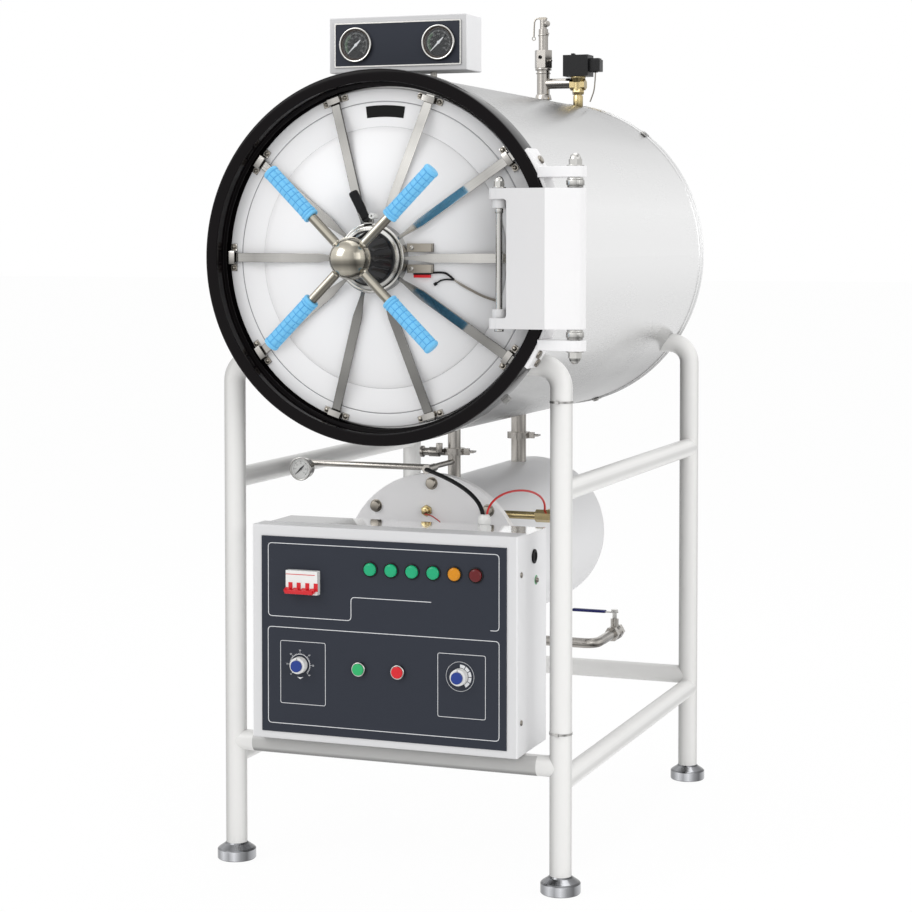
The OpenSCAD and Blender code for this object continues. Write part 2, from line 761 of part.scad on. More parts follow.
module steam_pipes() color(steel) {
  riser(front_riser_y, front_riser_r);
  riser(rear_riser_y, rear_riser_r);
  clamp(front_riser_y, front_riser_r);
  clamp(rear_riser_y, rear_riser_r);
  // Riser for the relief valve, with the cross pipe to the vent valve
  translate([0, top_y, axis_z + chamber_r + chamber_wall / 2])
    pipe(riser_r, riser_top - axis_z - chamber_r - chamber_wall / 2, 2);
  difference() {
    translate([0, top_y, cross_z]) rotate([0, 90, 0]) pipe(cross_r, vent_x - 18, 2);
    translate([0, top_y, axis_z]) cylinder(r = riser_r, h = riser_top);
  }
  // Line to the small gauge, the sensor at its end and the line to the riser
  difference() {
    union() {
      translate([small_gauge_x, line_y + line_r, line_z]) rotate([0, 90, 0])
        cylinder(r = line_r, h = 2 * sensor_x - small_gauge_x);
      translate([0, line_y + line_r, line_z]) rotate([-90, 0, 0])
        cylinder(r = line_r * branch_share, h = front_riser_y - line_y - line_r);
      translate([sensor_x, sensor_y, line_z]) rotate([-90, 0, 0])
        cylinder(r = line_r * sensor_share, h = line_y + 2 * line_r - sensor_y);
      translate([sensor_x, sensor_y, line_z]) rotate([-90, 0, 0])
        cylinder(r = line_r * sensor_hex_share, h = line_r, $fn = 6);
    }
    translate([small_gauge_x, line_y - small_gauge_l, small_gauge_z]) rotate([-90, 0, 0])
      cylinder(d = small_gauge_d * case_share, h = small_gauge_l);
    translate([0, front_riser_y, tank_z]) cylinder(r = front_riser_r, h = axis_z - tank_z);
  }
  // Line from the chamber's top into the gauge box
  translate([gauge_line_x, gauge_y + gauge_box_l / 2, axis_z + chamber_r + chamber_wall / 2])
    cylinder(r = line_r, h = gauge_z + sheet - axis_z - chamber_r - chamber_wall / 2 + line_r);
  // Drain pipe: down from the tank, across and back
  difference() {
    union() {
      translate([0, drain_y, drain_z]) cylinder(r = drain_r, h = tank_z - drain_z);
      translate([0, drain_y, drain_z]) sphere(r = drain_r * elbow_share);
      translate([0, drain_y, drain_z]) rotate([0, 90, 0]) cylinder(r = drain_r, h = drain_x - drain_bend);
      translate([drain_x - drain_bend, drain_y + drain_bend, drain_z]) rotate([0, 0, -90])
        rotate_extrude(angle = 90) translate([drain_bend, 0]) circle(r = drain_r);
      translate([drain_x, drain_y + drain_bend, drain_z]) rotate([-90, 0, 0])
        cylinder(r = drain_r, h = valve_y - valve_l / 2 - drain_y - drain_bend);
    }
    translate([0, drain_y - tank_r, tank_z]) rotate([-90, 0, 0]) cylinder(r = tank_r, h = tank_d);
  }
}
branch_share = 0.85;
sensor_share = 1.25;
sensor_hex_share = 1.5;
elbow_share = 1.2;

stem_r = 5;
stem_h = 30;
module steel_valves() color(steel) {
  // Relief valve
  translate([0, top_y, riser_top]) {
    cylinder(r = hex_r, h = hex_h, $fn = 6);
    translate([0, 0, hex_h]) cylinder(r = relief_r, h = relief_h);
    translate([0, 0, hex_h + relief_h]) cylinder(r = cap_r, h = cap_h - 6);
  }
  // Ball valve on the drain
  translate([drain_x, valve_y - valve_l / 2, drain_z]) rotate([-90, 0, 0]) difference() {
    union() {
      cylinder(r = valve_r, h = valve_l * nut_share, $fn = 6);
      cylinder(r = valve_r - 2, h = valve_l);
      translate([0, 0, valve_l / 2]) sphere(r = valve_r);
      translate([0, 0, valve_l * (1 - nut_share)]) cylinder(r = valve_r, h = valve_l * nut_share, $fn = 6);
    }
    translate([0, 0, valve_l / 2]) cylinder(r = drain_r, h = valve_l);
  }
  translate([drain_x, valve_y, drain_z + valve_r - 3]) difference() {
    cylinder(r = stem_r + 4, h = stem_h / 2 + 3);
    translate([0, 0, stem_h / 4]) cylinder(r = stem_r + pin_fit, h = stem_h);
  }
}
nut_share = 0.28;

module relief_lever() color(steel) translate([0, top_y, relief_top - lever_cap]) {
  translate([-relief_r, -lever_w / 2, soft_gap]) cube([relief_r + lever_cap, lever_w, lever_cap - soft_gap]);
  translate([lever_cap, lever_w / 2 + over, relief_pin_z]) rotate([90, 0, 0])
    cylinder(r = relief_pin_r, h = lever_w + 2 * over);
  translate([-2 * relief_r, -lever_w / 3, -lever_drop]) rotate([0, lever_lean, 0])
    cube([lever_w / 2, lever_w * 2 / 3, lever_drop + lever_cap / 2]);
}
lever_cap = 6;
lever_w = 6;
lever_drop = 48;
lever_lean = 12;
relief_pin_r = 2.5;
relief_pin_z = 3;

module brass_valves() color(brass) {
  // Vent valve
  translate([vent_x, top_y, axis_z + chamber_r + chamber_wall / 2])
    cylinder(r = vent_nipple_r, h = vent_z - 14 - axis_z - chamber_r - chamber_wall / 2);
  translate([vent_x, top_y, vent_z]) {
    cylinder(r = 13, h = 28, center = true);
    rotate([0, 90, 0]) translate([0, 0, -18]) cylinder(r = 13, h = 36, $fn = 6);
    translate([0, 0, 10]) cylinder(r = 9, h = 12);
  }
  // Feed valve
  translate([feed_x, feed_y, feed_z]) {
    rotate([0, 90, 0]) cylinder(r = feed_r, h = feed_l, $fn = 6);
    translate([feed_l / 2, 0, 0]) rotate([-90, 0, 0]) cylinder(r = feed_r - 2, h = feed_l);
  }
  difference() {
    translate([0, feed_y, feed_z]) rotate([0, 90, 0]) cylinder(r = 8, h = feed_x);
    translate([0, feed_y - tank_r, tank_z]) rotate([-90, 0, 0]) cylinder(r = tank_r, h = tank_d);
  }
}
vent_z = 1611;

module vent_coil() color(black) translate([vent_x, top_y, vent_z + 19]) {
  difference() {
    translate([-coil_w / 2, -coil_l / 2, 0]) cube([coil_w, coil_l, coil_h]);
    translate([0, 0, -over]) cylinder(r = 9, h = 3 + over);
  }
  translate([coil_w / 2, -coil_l / 4, coil_h / 3]) cube([coil_l / 2, coil_l / 2, coil_h / 2]);
  translate([coil_w / 2 + coil_l / 4, 0, coil_h / 3 - 8]) cylinder(r = 6, h = 8);
}

// Control box
module control_case() color(white) translate([box_x - case_w / 2, cover_y + cover_l, case_z]) {
  difference() {
    cube([case_w, case_l, case_h]);
    translate([sheet, -over, sheet]) cube([case_w - 2 * sheet, case_l - sheet + over, case_h - 2 * sheet]);
    translate([case_w / 2 + gland_x - box_x, gland_y - cover_y - cover_l, case_h - sheet - over])
      cylinder(r = gland_r - 3, h = sheet + 2 * over);
    translate([case_w - sheet - over, case_l * grommet_in_share, case_h * grommet_up_share]) rotate([0, 90, 0])
      cylinder(r = grommet_r, h = sheet + 2 * over);
  }
}
grommet_r = 11;
grommet_in_share = 0.37;
grommet_up_share = 0.89;

module control_cover() color(white) translate([box_x - cover_w / 2, cover_y, case_z]) {
  rim = (cover_w - panel_w) / 2 + lip;
  rim_v = (cover_h - panel_h) / 2 + lip;
  difference() {
    cube([cover_w, cover_l, cover_h]);
    translate([sheet, sheet, sheet]) cube([cover_w - 2 * sheet, cover_l, cover_h - 2 * sheet]);
    translate([rim, -over, rim_v]) cube([cover_w - 2 * rim, cover_l, cover_h - 2 * rim_v]);
  }
  // Rim at the cover's back, against which the case's front edges stand
  translate([sheet, cover_l - sheet, sheet]) difference() {
    cube([cover_w - 2 * sheet, sheet, cover_h - 2 * sheet]);
    translate([lip, -over, lip]) cube([cover_w - 2 * (sheet + lip), sheet + 2 * over, cover_h - 2 * (sheet + lip)]);
  }
}
lip = 12;

module panel_hole(x, z, r) translate([x, cover_y - panel_t - over, z]) rotate([-90, 0, 0])
  cylinder(r = r, h = panel_t + 2 * over);

module control_panel() color(dark) difference() {
  translate([box_x - panel_w / 2, cover_y - panel_t, panel_z - panel_h / 2]) cube([panel_w, panel_t, panel_h]);
  for (i = [0:lamp_n - 1]) panel_hole(lamp_x + i * lamp_pitch, lamp_z, fitting_r);
  for (x = [start_x, stop_x]) panel_hole(x, knob_z, fitting_r + 2);
  for (x = [timer_x, temperature_x]) panel_hole(x, knob_z, shaft_r + 1);
  translate([breaker_x - breaker_w / 2, cover_y - panel_t - over, breaker_z - breaker_h / 2])
    cube([breaker_w, panel_t + 2 * over, breaker_h]);
}

module contactors() {
  back_y = cover_y + cover_l + case_l - sheet;
  color(steel) translate([-case_w * 0.35, back_y - 8, case_z + 120]) cube([case_w * 0.7, 8, 35]);
  for (i = [-1, 0, 1]) color(dark) translate([i * 90 - 22, back_y - 78, case_z + 100]) cube([45, 70, 75]);
}

module panel_fittings() {
  color(dark) for (i = [0:lamp_n - 1]) translate([lamp_x + i * lamp_pitch, cover_y - panel_t, lamp_z])
    rotate([-90, 0, 0]) cylinder(r = fitting_r, h = fitting_l);
  for (x = [start_x, stop_x]) translate([x, cover_y - panel_t, knob_z]) {
    color(steel) rotate([90, 0, 0]) difference() {
      cylinder(r = bezel_r, h = bezel_h);
      translate([0, 0, -over]) cylinder(r = button_r + soft_gap, h = bezel_h + 2 * over);
    }
    color(dark) rotate([-90, 0, 0]) difference() {
      cylinder(r = fitting_r + 2, h = fitting_l);
      translate([0, 0, -over]) cylinder(r = button_r + soft_gap, h = fitting_l / 2);
    }
  }
  for (x = [timer_x, temperature_x]) color(dark) translate([x, cover_y + sheet, knob_z]) rotate([-90, 0, 0])
    difference() {
      translate([-20, -20, -sheet]) cube([40, 40, fitting_l]);
      translate([0, 0, -sheet - over]) cylinder(r = shaft_r + pin_fit, h = fitting_l / 2);
    }
  color(white) translate([gland_x, gland_y, case_z + case_h - gland_in]) {
    difference() {
      union() {
        cylinder(r = gland_r - gland_wall, h = gland_h - gland_mouth);
        translate([0, 0, gland_in]) cylinder(r = gland_r, h = gland_nut, $fn = 6);
        translate([0, 0, gland_in + gland_nut])
          cylinder(r1 = gland_r, r2 = gland_r - gland_wall / 3, h = gland_h - gland_in - gland_nut);
      }
      translate([0, 0, -over]) cylinder(r = gland_r - 2 * gland_wall, h = gland_h);
      translate([0, 0, gland_h - gland_mouth]) cylinder(r = gland_r - gland_wall / 2, h = gland_h);
    }
  }
  color(black) translate([box_x + case_w / 2 - sheet, cover_y + cover_l + case_l * grommet_in_share, case_z + case_h * grommet_up_share])
    rotate([0, 90, 0]) cylinder(r = grommet_r, h = 4 * sheet);
}

module lamps() for (i = [0:lamp_n - 1])
  color(i < 4 ? [0.2, 0.75, 0.5] : i == 4 ? [0.95, 0.6, 0.1] : [0.45, 0.06, 0.08])
    translate([lamp_x + i * lamp_pitch, cover_y - panel_t, lamp_z]) rotate([90, 0, 0]) {
      cylinder(r = lamp_rim_r, h = lamp_h / 3);
      translate([0, 0, lamp_h / 3]) cylinder(r1 = lamp_r, r2 = lamp_r * lens_share, h = lamp_h * 2 / 3);
    }
lens_share = 0.7;

// Breaker body with a window for each of its linked toggles
module breaker() color(white) translate([breaker_x, cover_y - panel_t, breaker_z]) difference() {
  translate([-breaker_w / 2, -breaker_out, -breaker_h / 2]) cube([breaker_w, breaker_in, breaker_h]);
  for (i = [0:toggle_n - 1]) translate([toggle_x(i) - window_w / 2, -breaker_out - over, -toggle_down - window_low])
    cube([window_w, window_l + over, window_h]);
  translate([-breaker_w * bar_share / 2, toggle_pivot - breaker_out, -toggle_down]) rotate([0, 90, 0])
    cylinder(r = toggle_pin_r + pin_fit, h = breaker_w * bar_share);
}
toggle_pivot = 8;
toggle_pin_r = 2.5;
bar_share = 0.94;
function toggle_x(i) = (i - (toggle_n - 1) / 2) * breaker_w / toggle_n;

module breaker_toggle() color([0.8, 0.1, 0.12])
  translate([breaker_x, cover_y - panel_t - breaker_out + toggle_pivot, breaker_z - toggle_down]) {
    rotate([toggle_tilt, 0, 0]) {
      for (i = [0:toggle_n - 1]) translate([toggle_x(i) - toggle_w / 2, -toggle_reach, -toggle_h / 2])
        cube([toggle_w, toggle_reach + toggle_back, toggle_h]);
      translate([toggle_x(0), -toggle_reach - link_bar_t, -link_bar_h / 2])
        cube([toggle_x(toggle_n - 1) - toggle_x(0), link_bar_t, link_bar_h]);
    }
    translate([-breaker_w * bar_share / 2 + pin_fit, 0, 0]) rotate([0, 90, 0])
      cylinder(r = toggle_pin_r, h = breaker_w * bar_share - 2 * pin_fit);
  }

module push_button(x) translate([x, cover_y - panel_t, knob_z]) rotate([90, 0, 0])
  translate([0, 0, -fitting_l / 4]) cylinder(r = button_r, h = fitting_l / 4 + bezel_h + button_out);
module start_button() color([0.15, 0.7, 0.4]) push_button(start_x);
module stop_button() color([0.8, 0.1, 0.12]) push_button(stop_x);

module knob(x) translate([x, cover_y - panel_t - knob_gap, knob_z]) rotate([90, 0, 0]) {
  color(white) cylinder(r = knob_r, h = knob_h);
  color([0.08, 0.14, 0.5]) translate([0, 0, knob_h]) cylinder(r = knob_cap_r, h = knob_cap_h);
  color(white) translate([-1, 2, knob_h + knob_cap_h]) cube([2, knob_cap_r - 2, 1]);
  color(steel) translate([0, 0, -fitting_l / 4]) cylinder(r = shaft_r, h = fitting_l / 4);
}
module timer_knob() knob(timer_x);
module temperature_knob() knob(temperature_x);

// Steam generator
module generator_tank() color(white) difference() {
  translate([0, tank_y, tank_z]) rotate([-90, 0, 0]) difference() {
    union() {
      cylinder(r = tank_r, h = tank_l - tank_head, $fn = 96);
      translate([0, 0, tank_l - tank_head]) cylinder(r1 = tank_r, r2 = tank_r * tank_share, h = tank_head / 2, $fn = 96);
      translate([0, 0, tank_l - tank_head / 2])
        cylinder(r1 = tank_r * tank_share, r2 = tank_r * tank_share * tank_share, h = tank_head / 3, $fn = 96);
    }
    translate([0, 0, -over]) cylinder(r = tank_r - tank_wall, h = tank_l - tank_head + over, $fn = 96);
  }
}
tank_head = 46;
tank_share = 0.84;

module generator_flange() color(white) translate([0, flange_y, tank_z]) rotate([-90, 0, 0]) difference() {
  cylinder(d = flange_d, h = flange_t, $fn = 96);
  for (i = [0:heater_n - 1]) rotate([0, 0, heater_angle(i)]) translate([heater_ring, 0, -over])
    cylinder(r = heater_boss_r, h = flange_t + 2 * over);
}
heater_boss_r = 16;
function heater_angle(i) = -95 + i * 360 / heater_n;

module heaters() translate([0, flange_y, tank_z]) rotate([-90, 0, 0])
  for (i = [0:heater_n - 1]) rotate([0, 0, heater_angle(i)]) translate([heater_ring, 0, 0]) {
    color(brass) {
      translate([0, 0, -8]) cylinder(r = heater_boss_r - 4, h = 8, $fn = 6);
      cylinder(r = heater_boss_r, h = flange_t);
      translate([0, 0, -14]) cylinder(r = 4, h = 6);
    }
    color(steel) {
      translate([0, 0, flange_t]) cylinder(r = heater_r, h = heater_l);
    }
  }

// Leads held between housings, through points taken along each of them
module leads() {
  color(black) difference() {
    sweep(curve([180, gland_y, gland_seat], [179, -463, 752], [104, -388, 772],
    [sensor_x, sensor_y, line_z], 12), black_lead_r);
    translate([sensor_x, sensor_y, line_z]) rotate([-90, 0, 0])
      cylinder(r = line_r * sensor_hex_share, h = line_r, $fn = 6);
    translate([sensor_x, sensor_y, line_z]) rotate([-90, 0, 0])
      cylinder(r = line_r * sensor_share, h = line_y + 2 * line_r - sensor_y);
  }
  color([0.8, 0.15, 0.12]) difference() {
    sweep(curve([188, gland_y, gland_seat], [188, -462, 780], [262, -300, 770],
    [feed_x + feed_l / 2, feed_y, feed_z + feed_r - 2], 16), red_lead_r);
    translate([feed_x, feed_y, feed_z]) rotate([0, 90, 0]) cylinder(r = feed_r, h = feed_l, $fn = 6);
    translate([feed_x + feed_l / 2, feed_y, feed_z]) rotate([-90, 0, 0]) cylinder(r = feed_r - 2, h = feed_l);
  }
}
gland_seat = case_z + case_h - gland_in + gland_h - gland_mouth + soft_gap;
sensor_x = 6;
sensor_y = -322;
black_lead_r = 4.2;
red_lead_r = 2.2;

// Door
module door_lug(z) translate([0, 0, axis_z + z]) {
  translate([door_pin_x, door_pin_y, 0]) cylinder(r = door_lug_r, h = door_lug_h);
  translate([door_pin_x - door_lug_r, door_pin_y, 0])
    cube([2 * door_lug_r, mouth_y - rim_front - door_pin_y, door_lug_h]);
}

function dish_points(t) = [for (i = [0:steps]) let (r = dish_flat + (dish_r - 2 - dish_flat) * i / steps)
  [r, max(dish_front(r) - t, mouth_gap)]];
module dish_solid() rotate_extrude($fn = 128) polygon(concat([[0, mouth_gap], [0, crown]],
  dish_points(0), [[dish_r, rim_front], [dish_r, mouth_gap]]));

module door_plate() color(white) difference() {
  union() {
    at_mouth() rotate_extrude($fn = 128) polygon(concat(
      [[0, crown], for (i = [0:steps]) let (r = dish_flat + (dish_r - 2 - dish_flat) * i / steps) [r, dish_front(r)]],
      [[dish_r, rim_front], [groove_r - groove_w, rim_front], [groove_r - groove_w, rim_front - groove_w],
        [groove_r, rim_front - groove_w], [groove_r, rim_front], [door_r - 2, rim_front],
        [door_r, rim_front - 2], [door_r, mouth_gap], [seal_out, mouth_gap],
        [seal_out, mouth_gap + seal_depth], [seal_in, mouth_gap + seal_depth], [seal_in, mouth_gap],
        [seal_in - shell_t, mouth_gap]],
      [for (i = [steps:-1:0]) let (r = dish_flat + (dish_r - 2 - dish_flat) * i / steps)
        [r, max(dish_front(r) - shell_t, mouth_gap)]],
      [[0, crown - shell_t]]));
    door_lug(door_lug_top - door_lug_h);
    door_lug(-door_lug_top);
  }
  translate([door_pin_x, door_pin_y, axis_z - link_half]) cylinder(r = door_pin_r + pin_fit, h = link_h);
}

module door_gasket() color([0.75, 0.3, 0.2]) at_mouth() difference() {
  translate([0, 0, soft_gap]) cylinder(r = seal_out, h = mouth_gap + seal_depth - soft_gap, $fn = 128);
  translate([0, 0, soft_gap - over]) cylinder(r = seal_in, h = 2 * seal_depth, $fn = 128);
}

module hub_housing() color(steel) at_mouth(crown) {
  difference() {
    union() {
      cylinder(r = hub_r, h = hub_l);
      translate([lever_pivot.x - lever_hub_r, 0, hub_l - ear_t]) cube([2 * lever_hub_r, lever_pivot.y + lever_hub_r, ear_t]);
    }
    translate([0, 0, hub_floor]) cylinder(r = hub_r - hub_wall, h = hub_l);
    translate([0, 0, -over]) cylinder(r = spindle_r + pin_fit, h = hub_floor + 2 * over);
    for (i = [0:bar_n - 1]) rotate([0, 0, i * bar_step])
      translate([hub_r - hub_wall - 2 * over, -neck_w / 2 - 0.5, hub_floor]) cube([hub_wall + 4 * over, neck_w + 1, hub_l]);
    translate([lever_pivot.x, lever_pivot.y, 0]) cylinder(r = lever_pin_r + pin_fit, h = hub_l + over);
  }
}

module bar_guides() for (i = [0:bar_n - 1]) at_mouth(rim_front) rotate([0, 0, i * bar_step]) {
  roof = guide_roof - rim_front;
  w = guide_out - guide_in;
  color(steel) for (s = [0, 1]) mirror([0, s, 0]) {
    translate([guide_in, guide_side + guide_t, 0]) cube([w, guide_ear, guide_t]);
    translate([guide_in, guide_side, 0]) cube([w, guide_t, roof + guide_t]);
    translate([guide_in + w / 2, guide_side + guide_t + guide_ear / 2, guide_t])
      bolt_head(guide_screw_r, guide_screw_h);
  }
  color(steel) translate([guide_in, -guide_side, roof]) cube([w, 2 * guide_side, guide_t]);
}

bracket_l = 52;
bracket_h = 16;
bracket_off = 12;
bracket_z = 63;
switch_l = 34;
switch_h = 12;
switch_t = 12;
switch_in = 12;
bracket_t = 16;
module door_switch() at_mouth() {
  color(steel) for (s = [0, 1]) mirror([0, s, 0]) difference() {
    translate([hub_r - over, bracket_off, bracket_z - bracket_t]) cube([bracket_l, bracket_h, bracket_t]);
    cylinder(r = hub_r, h = 2 * bracket_z);
    dish_solid();
  }
  color([0.8, 0.1, 0.12]) translate([hub_r + switch_in, -bracket_off - bracket_h - switch_h, crown + soft_gap])
    cube([switch_l, switch_h, switch_t]);
}

// Locking bar, with its scroll pin, at rest
module bar(i) color(steel) at_mouth() rotate([0, 0, i * bar_step]) {
  translate([bar_tip, 0, bar_rim_z]) rotate([0, bar_tilt, 0]) translate([0, 0, -bar_t / 2])
    linear_extrude(bar_t) polygon([[0, bar_w / 2], [along(taper_r), bar_w / 2],
      [along(neck_r), neck_w / 2], [along(neck_end), neck_w / 2], [along(neck_end), -neck_w / 2],
      [along(neck_r), -neck_w / 2], [along(taper_r), -bar_w / 2], [0, -bar_w / 2]]);
  translate([pin_in, 0, bar_z(pin_in)]) cylinder(r = bar_pin_r, h = scroll_front - bar_z(pin_in) - 1);
}

// Scroll plate: slots follow the pins as the wheel turns
function polar(r, a) = [r * cos(a), r * sin(a)];
function centre3(a, b, c) = let (d = 2 * (a.x * (b.y - c.y) + b.x * (c.y - a.y) + c.x * (a.y - b.y)))
  [((a * a) * (b.y - c.y) + (b * b) * (c.y - a.y) + (c * c) * (a.y - b.y)) / d,
   ((a * a) * (c.x - b.x) + (b * b) * (a.x - c.x) + (c * c) * (b.x - a.x)) / d];
module scroll_slot() {
  a = polar(pin_in, 0);
  b = polar((pin_in + pin_out) / 2, wheel_turn / 2);
  c = polar(pin_out, wheel_turn);
  m = centre3(a, b, c);
  r = norm(a - m);
  from = atan2(a.y - m.y, a.x - m.x);
  to = atan2(c.y - m.y, c.x - m.x);
  turn = to > from ? to - from : to - from + 360;
  translate([m.x, m.y, 0]) rotate([0, 0, from]) rotate_extrude(angle = turn)
    translate([r - slot_w / 2, -over]) square([slot_w, scroll_t + 2 * over]);
  for (p = [a, c]) translate([p.x, p.y, -over]) cylinder(d = slot_w + slot_ease, h = scroll_t + 2 * over);
}

module scroll_plate() color(black) at_mouth(scroll_back) difference() {
  cylinder(r = scroll_r, h = scroll_t);
  translate([0, 0, -over]) cylinder(r = spindle_r, h = scroll_t + 2 * over);
  for (i = [0:bar_n - 1]) rotate([0, 0, i * bar_step]) scroll_slot();
}

module wheel_boss() color(black) at_mouth(scroll_front) difference() {
  union() {
    cylinder(r = boss_rim_r, h = boss_rim_t);
    cylinder(r1 = boss_base_r, r2 = boss_tip_r, h = boss_top - scroll_front);
  }
  translate([0, 0, -over]) cylinder(r = spindle_r, h = boss_top);
  for (i = [0:flute_n - 1]) rotate([0, 0, i * 360 / flute_n])
    translate([boss_base_r + flute_r / 3, 0, boss_rim_t + flute_r])
      rotate([0, -atan2(boss_base_r - boss_tip_r, boss_top - scroll_front), 0])
        cylinder(r = flute_r, h = boss_top);
}

module rod_at(i) rotate([0, 0, 45 + i * 360 / rod_n]) rotate([0, 90, 0]) children();
module wheel_hub() color(steel) {
  at_mouth(crown) cylinder(r = spindle_r, h = ball_z - crown);
  at_mouth(boss_top) cylinder(r = boss_tip_r, h = collar_t);
  at_mouth(ball_z) {
    difference() {
      sphere(d = ball_d);
      translate([0, 0, -ball_d]) cylinder(d = ball_d, h = ball_d - ball_z + boss_top);
    }
    cylinder(d = ball_d + seam_out, h = seam_w, center = true);
    for (i = [0:rod_n - 1]) rod_at(i) cylinder(d = rod_d, h = grip_out - 6);
  }
}

seam_out = 1.5;
seam_w = 2;

module wheel_grips() color(blue) at_mouth(ball_z) for (i = [0:rod_n - 1]) rod_at(i) difference() {
  union() {
    translate([0, 0, grip_in]) cylinder(d = grip_d, h = grip_flange);
    translate([0, 0, grip_in]) cylinder(d = grip_d - 4, h = grip_out - grip_in);
    translate([0, 0, grip_in + 2 * grip_flange]) cylinder(d = grip_d - 1.5, h = grip_out - grip_in - 4 * grip_flange);
    translate([0, 0, grip_out - grip_flange]) cylinder(d = grip_d, h = grip_flange);
  }
  cylinder(d = rod_d, h = grip_out - 6);
}
grip_flange = 6;

module interlock_lever() at_mouth() translate([lever_pivot.x, lever_pivot.y, 0]) {
  color(steel) {
    translate([0, 0, crown + hub_l - ear_t]) cylinder(r = lever_pin_r, h = ear_t + 1);
    translate([0, 0, scroll_back]) cylinder(r = lever_hub_r, h = 2 * sleeve_r);
    translate([0, 0, lever_z]) rotate([0, 0, lever_angle]) rotate([0, 90, 0])
      cylinder(r = sleeve_r - 3, h = sleeve_from + 1);
  }
  color(black) translate([0, 0, lever_z]) rotate([0, 0, lever_angle]) rotate([0, 90, 0])
    translate([0, 0, sleeve_from]) cylinder(r = sleeve_r, h = sleeve_to - sleeve_from);
}

// Link of the double hinge
module link_plate() color(white) translate([0, 0, axis_z - link_half]) difference() {
  union() {
    linear_extrude(link_h) polygon([[plate_x, link_front], [bend_x, link_front],
      [fixed_x + boss_r * 0.5, fixed_y - boss_r * 0.866], [fixed_x, fixed_y],
      [bend_x, link_front + link_t], [plate_x, link_front + link_t]]);
    translate([fixed_x, fixed_y, 0]) cylinder(r = boss_r, h = link_h);
    for (z = [0, link_h - link_lug_h]) translate([0, 0, z]) {
      translate([door_pin_x, door_pin_y, 0]) cylinder(r = link_lug_r, h = link_lug_h);
      translate([door_pin_x - link_lug_r, link_front, 0])
        cube([plate_x - door_pin_x + link_lug_r, door_pin_y - link_front, link_lug_h]);
      translate([door_pin_x, door_pin_y - over, 0]) cube([plate_x - door_pin_x, link_front + link_t - door_pin_y + 2 * over, link_lug_h]);
    }
  }
  translate([fixed_x, fixed_y, -over]) cylinder(r = fixed_pin_r + pin_fit, h = link_h + 2 * over);
  translate([door_pin_x, door_pin_y, -over]) cylinder(r = door_pin_r, h = link_h + 2 * over);
}

module door_pin() color(steel) translate([door_pin_x, door_pin_y, axis_z]) {
  translate([0, 0, -link_half - 4]) cylinder(r = nut_r, h = 4);
  translate([0, 0, -link_half]) cylinder(r = door_pin_r, h = link_h);
  translate([0, 0, link_half]) acorn_nut(nut_r, nut_h);
}

// Drain lever, closed across the pipe
module drain_lever() translate([drain_x, valve_y, drain_z + valve_r - 3 + stem_h / 4 + 0.5]) {
  color(steel) cylinder(r = stem_r, h = stem_h - 4);
  color(steel) translate([0, 0, stem_h - 10]) cylinder(r = stem_r + 4, h = 5, $fn = 6);
  color(steel) translate([-22, -5, stem_h - 12]) cube([22, 10, 2]);
  color([0.12, 0.12, 0.4]) translate([-100, -7, stem_h - 13]) cube([80, 14, 6]);
}

frame();
feet();
chamber();
insulation();
jacket();
rear_cover();
locking_ring();
loading_tray();
hinge_bracket();
hinge_post();
bolts();
gauge_box();
gauges();
steam_pipes();
steel_valves();
brass_valves();
vent_coil();
control_case();
control_cover();
control_panel();
contactors();
panel_fittings();
lamps();
breaker();
generator_tank();
generator_flange();
heaters();
leads();
door_plate();
door_gasket();
hub_housing();
bar_guides();
door_switch();
wheel_hub();
wheel_boss();
wheel_grips();
scroll_plate();
link_plate();
door_pin();
bar(0);  // bar_0
bar(1);  // bar_1
bar(2);  // bar_2
bar(3);  // bar_3
bar(4);  // bar_4
bar(5);  // bar_5
bar(6);  // bar_6
bar(7);  // bar_7
bar(8);  // bar_8
bar(9);  // bar_9
relief_lever();
breaker_toggle();
start_button();
stop_button();
timer_knob();
temperature_knob();
drain_lever();
interlock_lever();
needle_left();
needle_right();
needle_small();
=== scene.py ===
"""Horizontal steam autoclave on a tubular stand, dressed over its packed model."""

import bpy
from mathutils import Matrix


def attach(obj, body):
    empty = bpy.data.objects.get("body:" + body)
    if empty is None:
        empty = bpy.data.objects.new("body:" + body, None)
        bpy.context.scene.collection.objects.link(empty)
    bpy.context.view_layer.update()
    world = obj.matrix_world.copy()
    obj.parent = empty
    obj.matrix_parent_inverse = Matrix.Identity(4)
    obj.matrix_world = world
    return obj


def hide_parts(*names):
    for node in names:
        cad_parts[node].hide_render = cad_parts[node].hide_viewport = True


bl_info = {
    "name": "Horizontal autoclave",
    "version": (1, 0, 0),
    "blender": (4, 5, 0),
    "location": "View3D > Sidebar > Autoclave",
    "description": "Builds the finished surfaces of a horizontal autoclave",
    "category": "Object",
}

import math

import bmesh
import bpy
from mathutils import Matrix, Vector

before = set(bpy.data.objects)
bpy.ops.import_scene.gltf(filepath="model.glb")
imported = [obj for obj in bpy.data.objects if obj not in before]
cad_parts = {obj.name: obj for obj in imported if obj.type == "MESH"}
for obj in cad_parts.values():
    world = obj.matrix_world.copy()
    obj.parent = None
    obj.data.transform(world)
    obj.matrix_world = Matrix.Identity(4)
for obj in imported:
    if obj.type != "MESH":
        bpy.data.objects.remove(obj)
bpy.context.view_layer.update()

MM = 0.001

# Millimetres: the vessel's axis and mouth, and what lies before the mouth
AXIS_Z = 1217
MOUTH_Y = -513
RIM = 19
CROWN = 55
BALL = 180
DISH_FLAT_R, DISH_R, DISH_WALL = 70, 250, 8
BAR_COUNT, BAR_R = 10, 328
JACKET_R, JACKET_L = 356.4, 1068

# Hinge: the door's pin, the fixed post and half the height of the link
PIN_X, PIN_Y = 258, -592
POST_X, POST_Y = 402, -578
LINK_HALF = 130.5

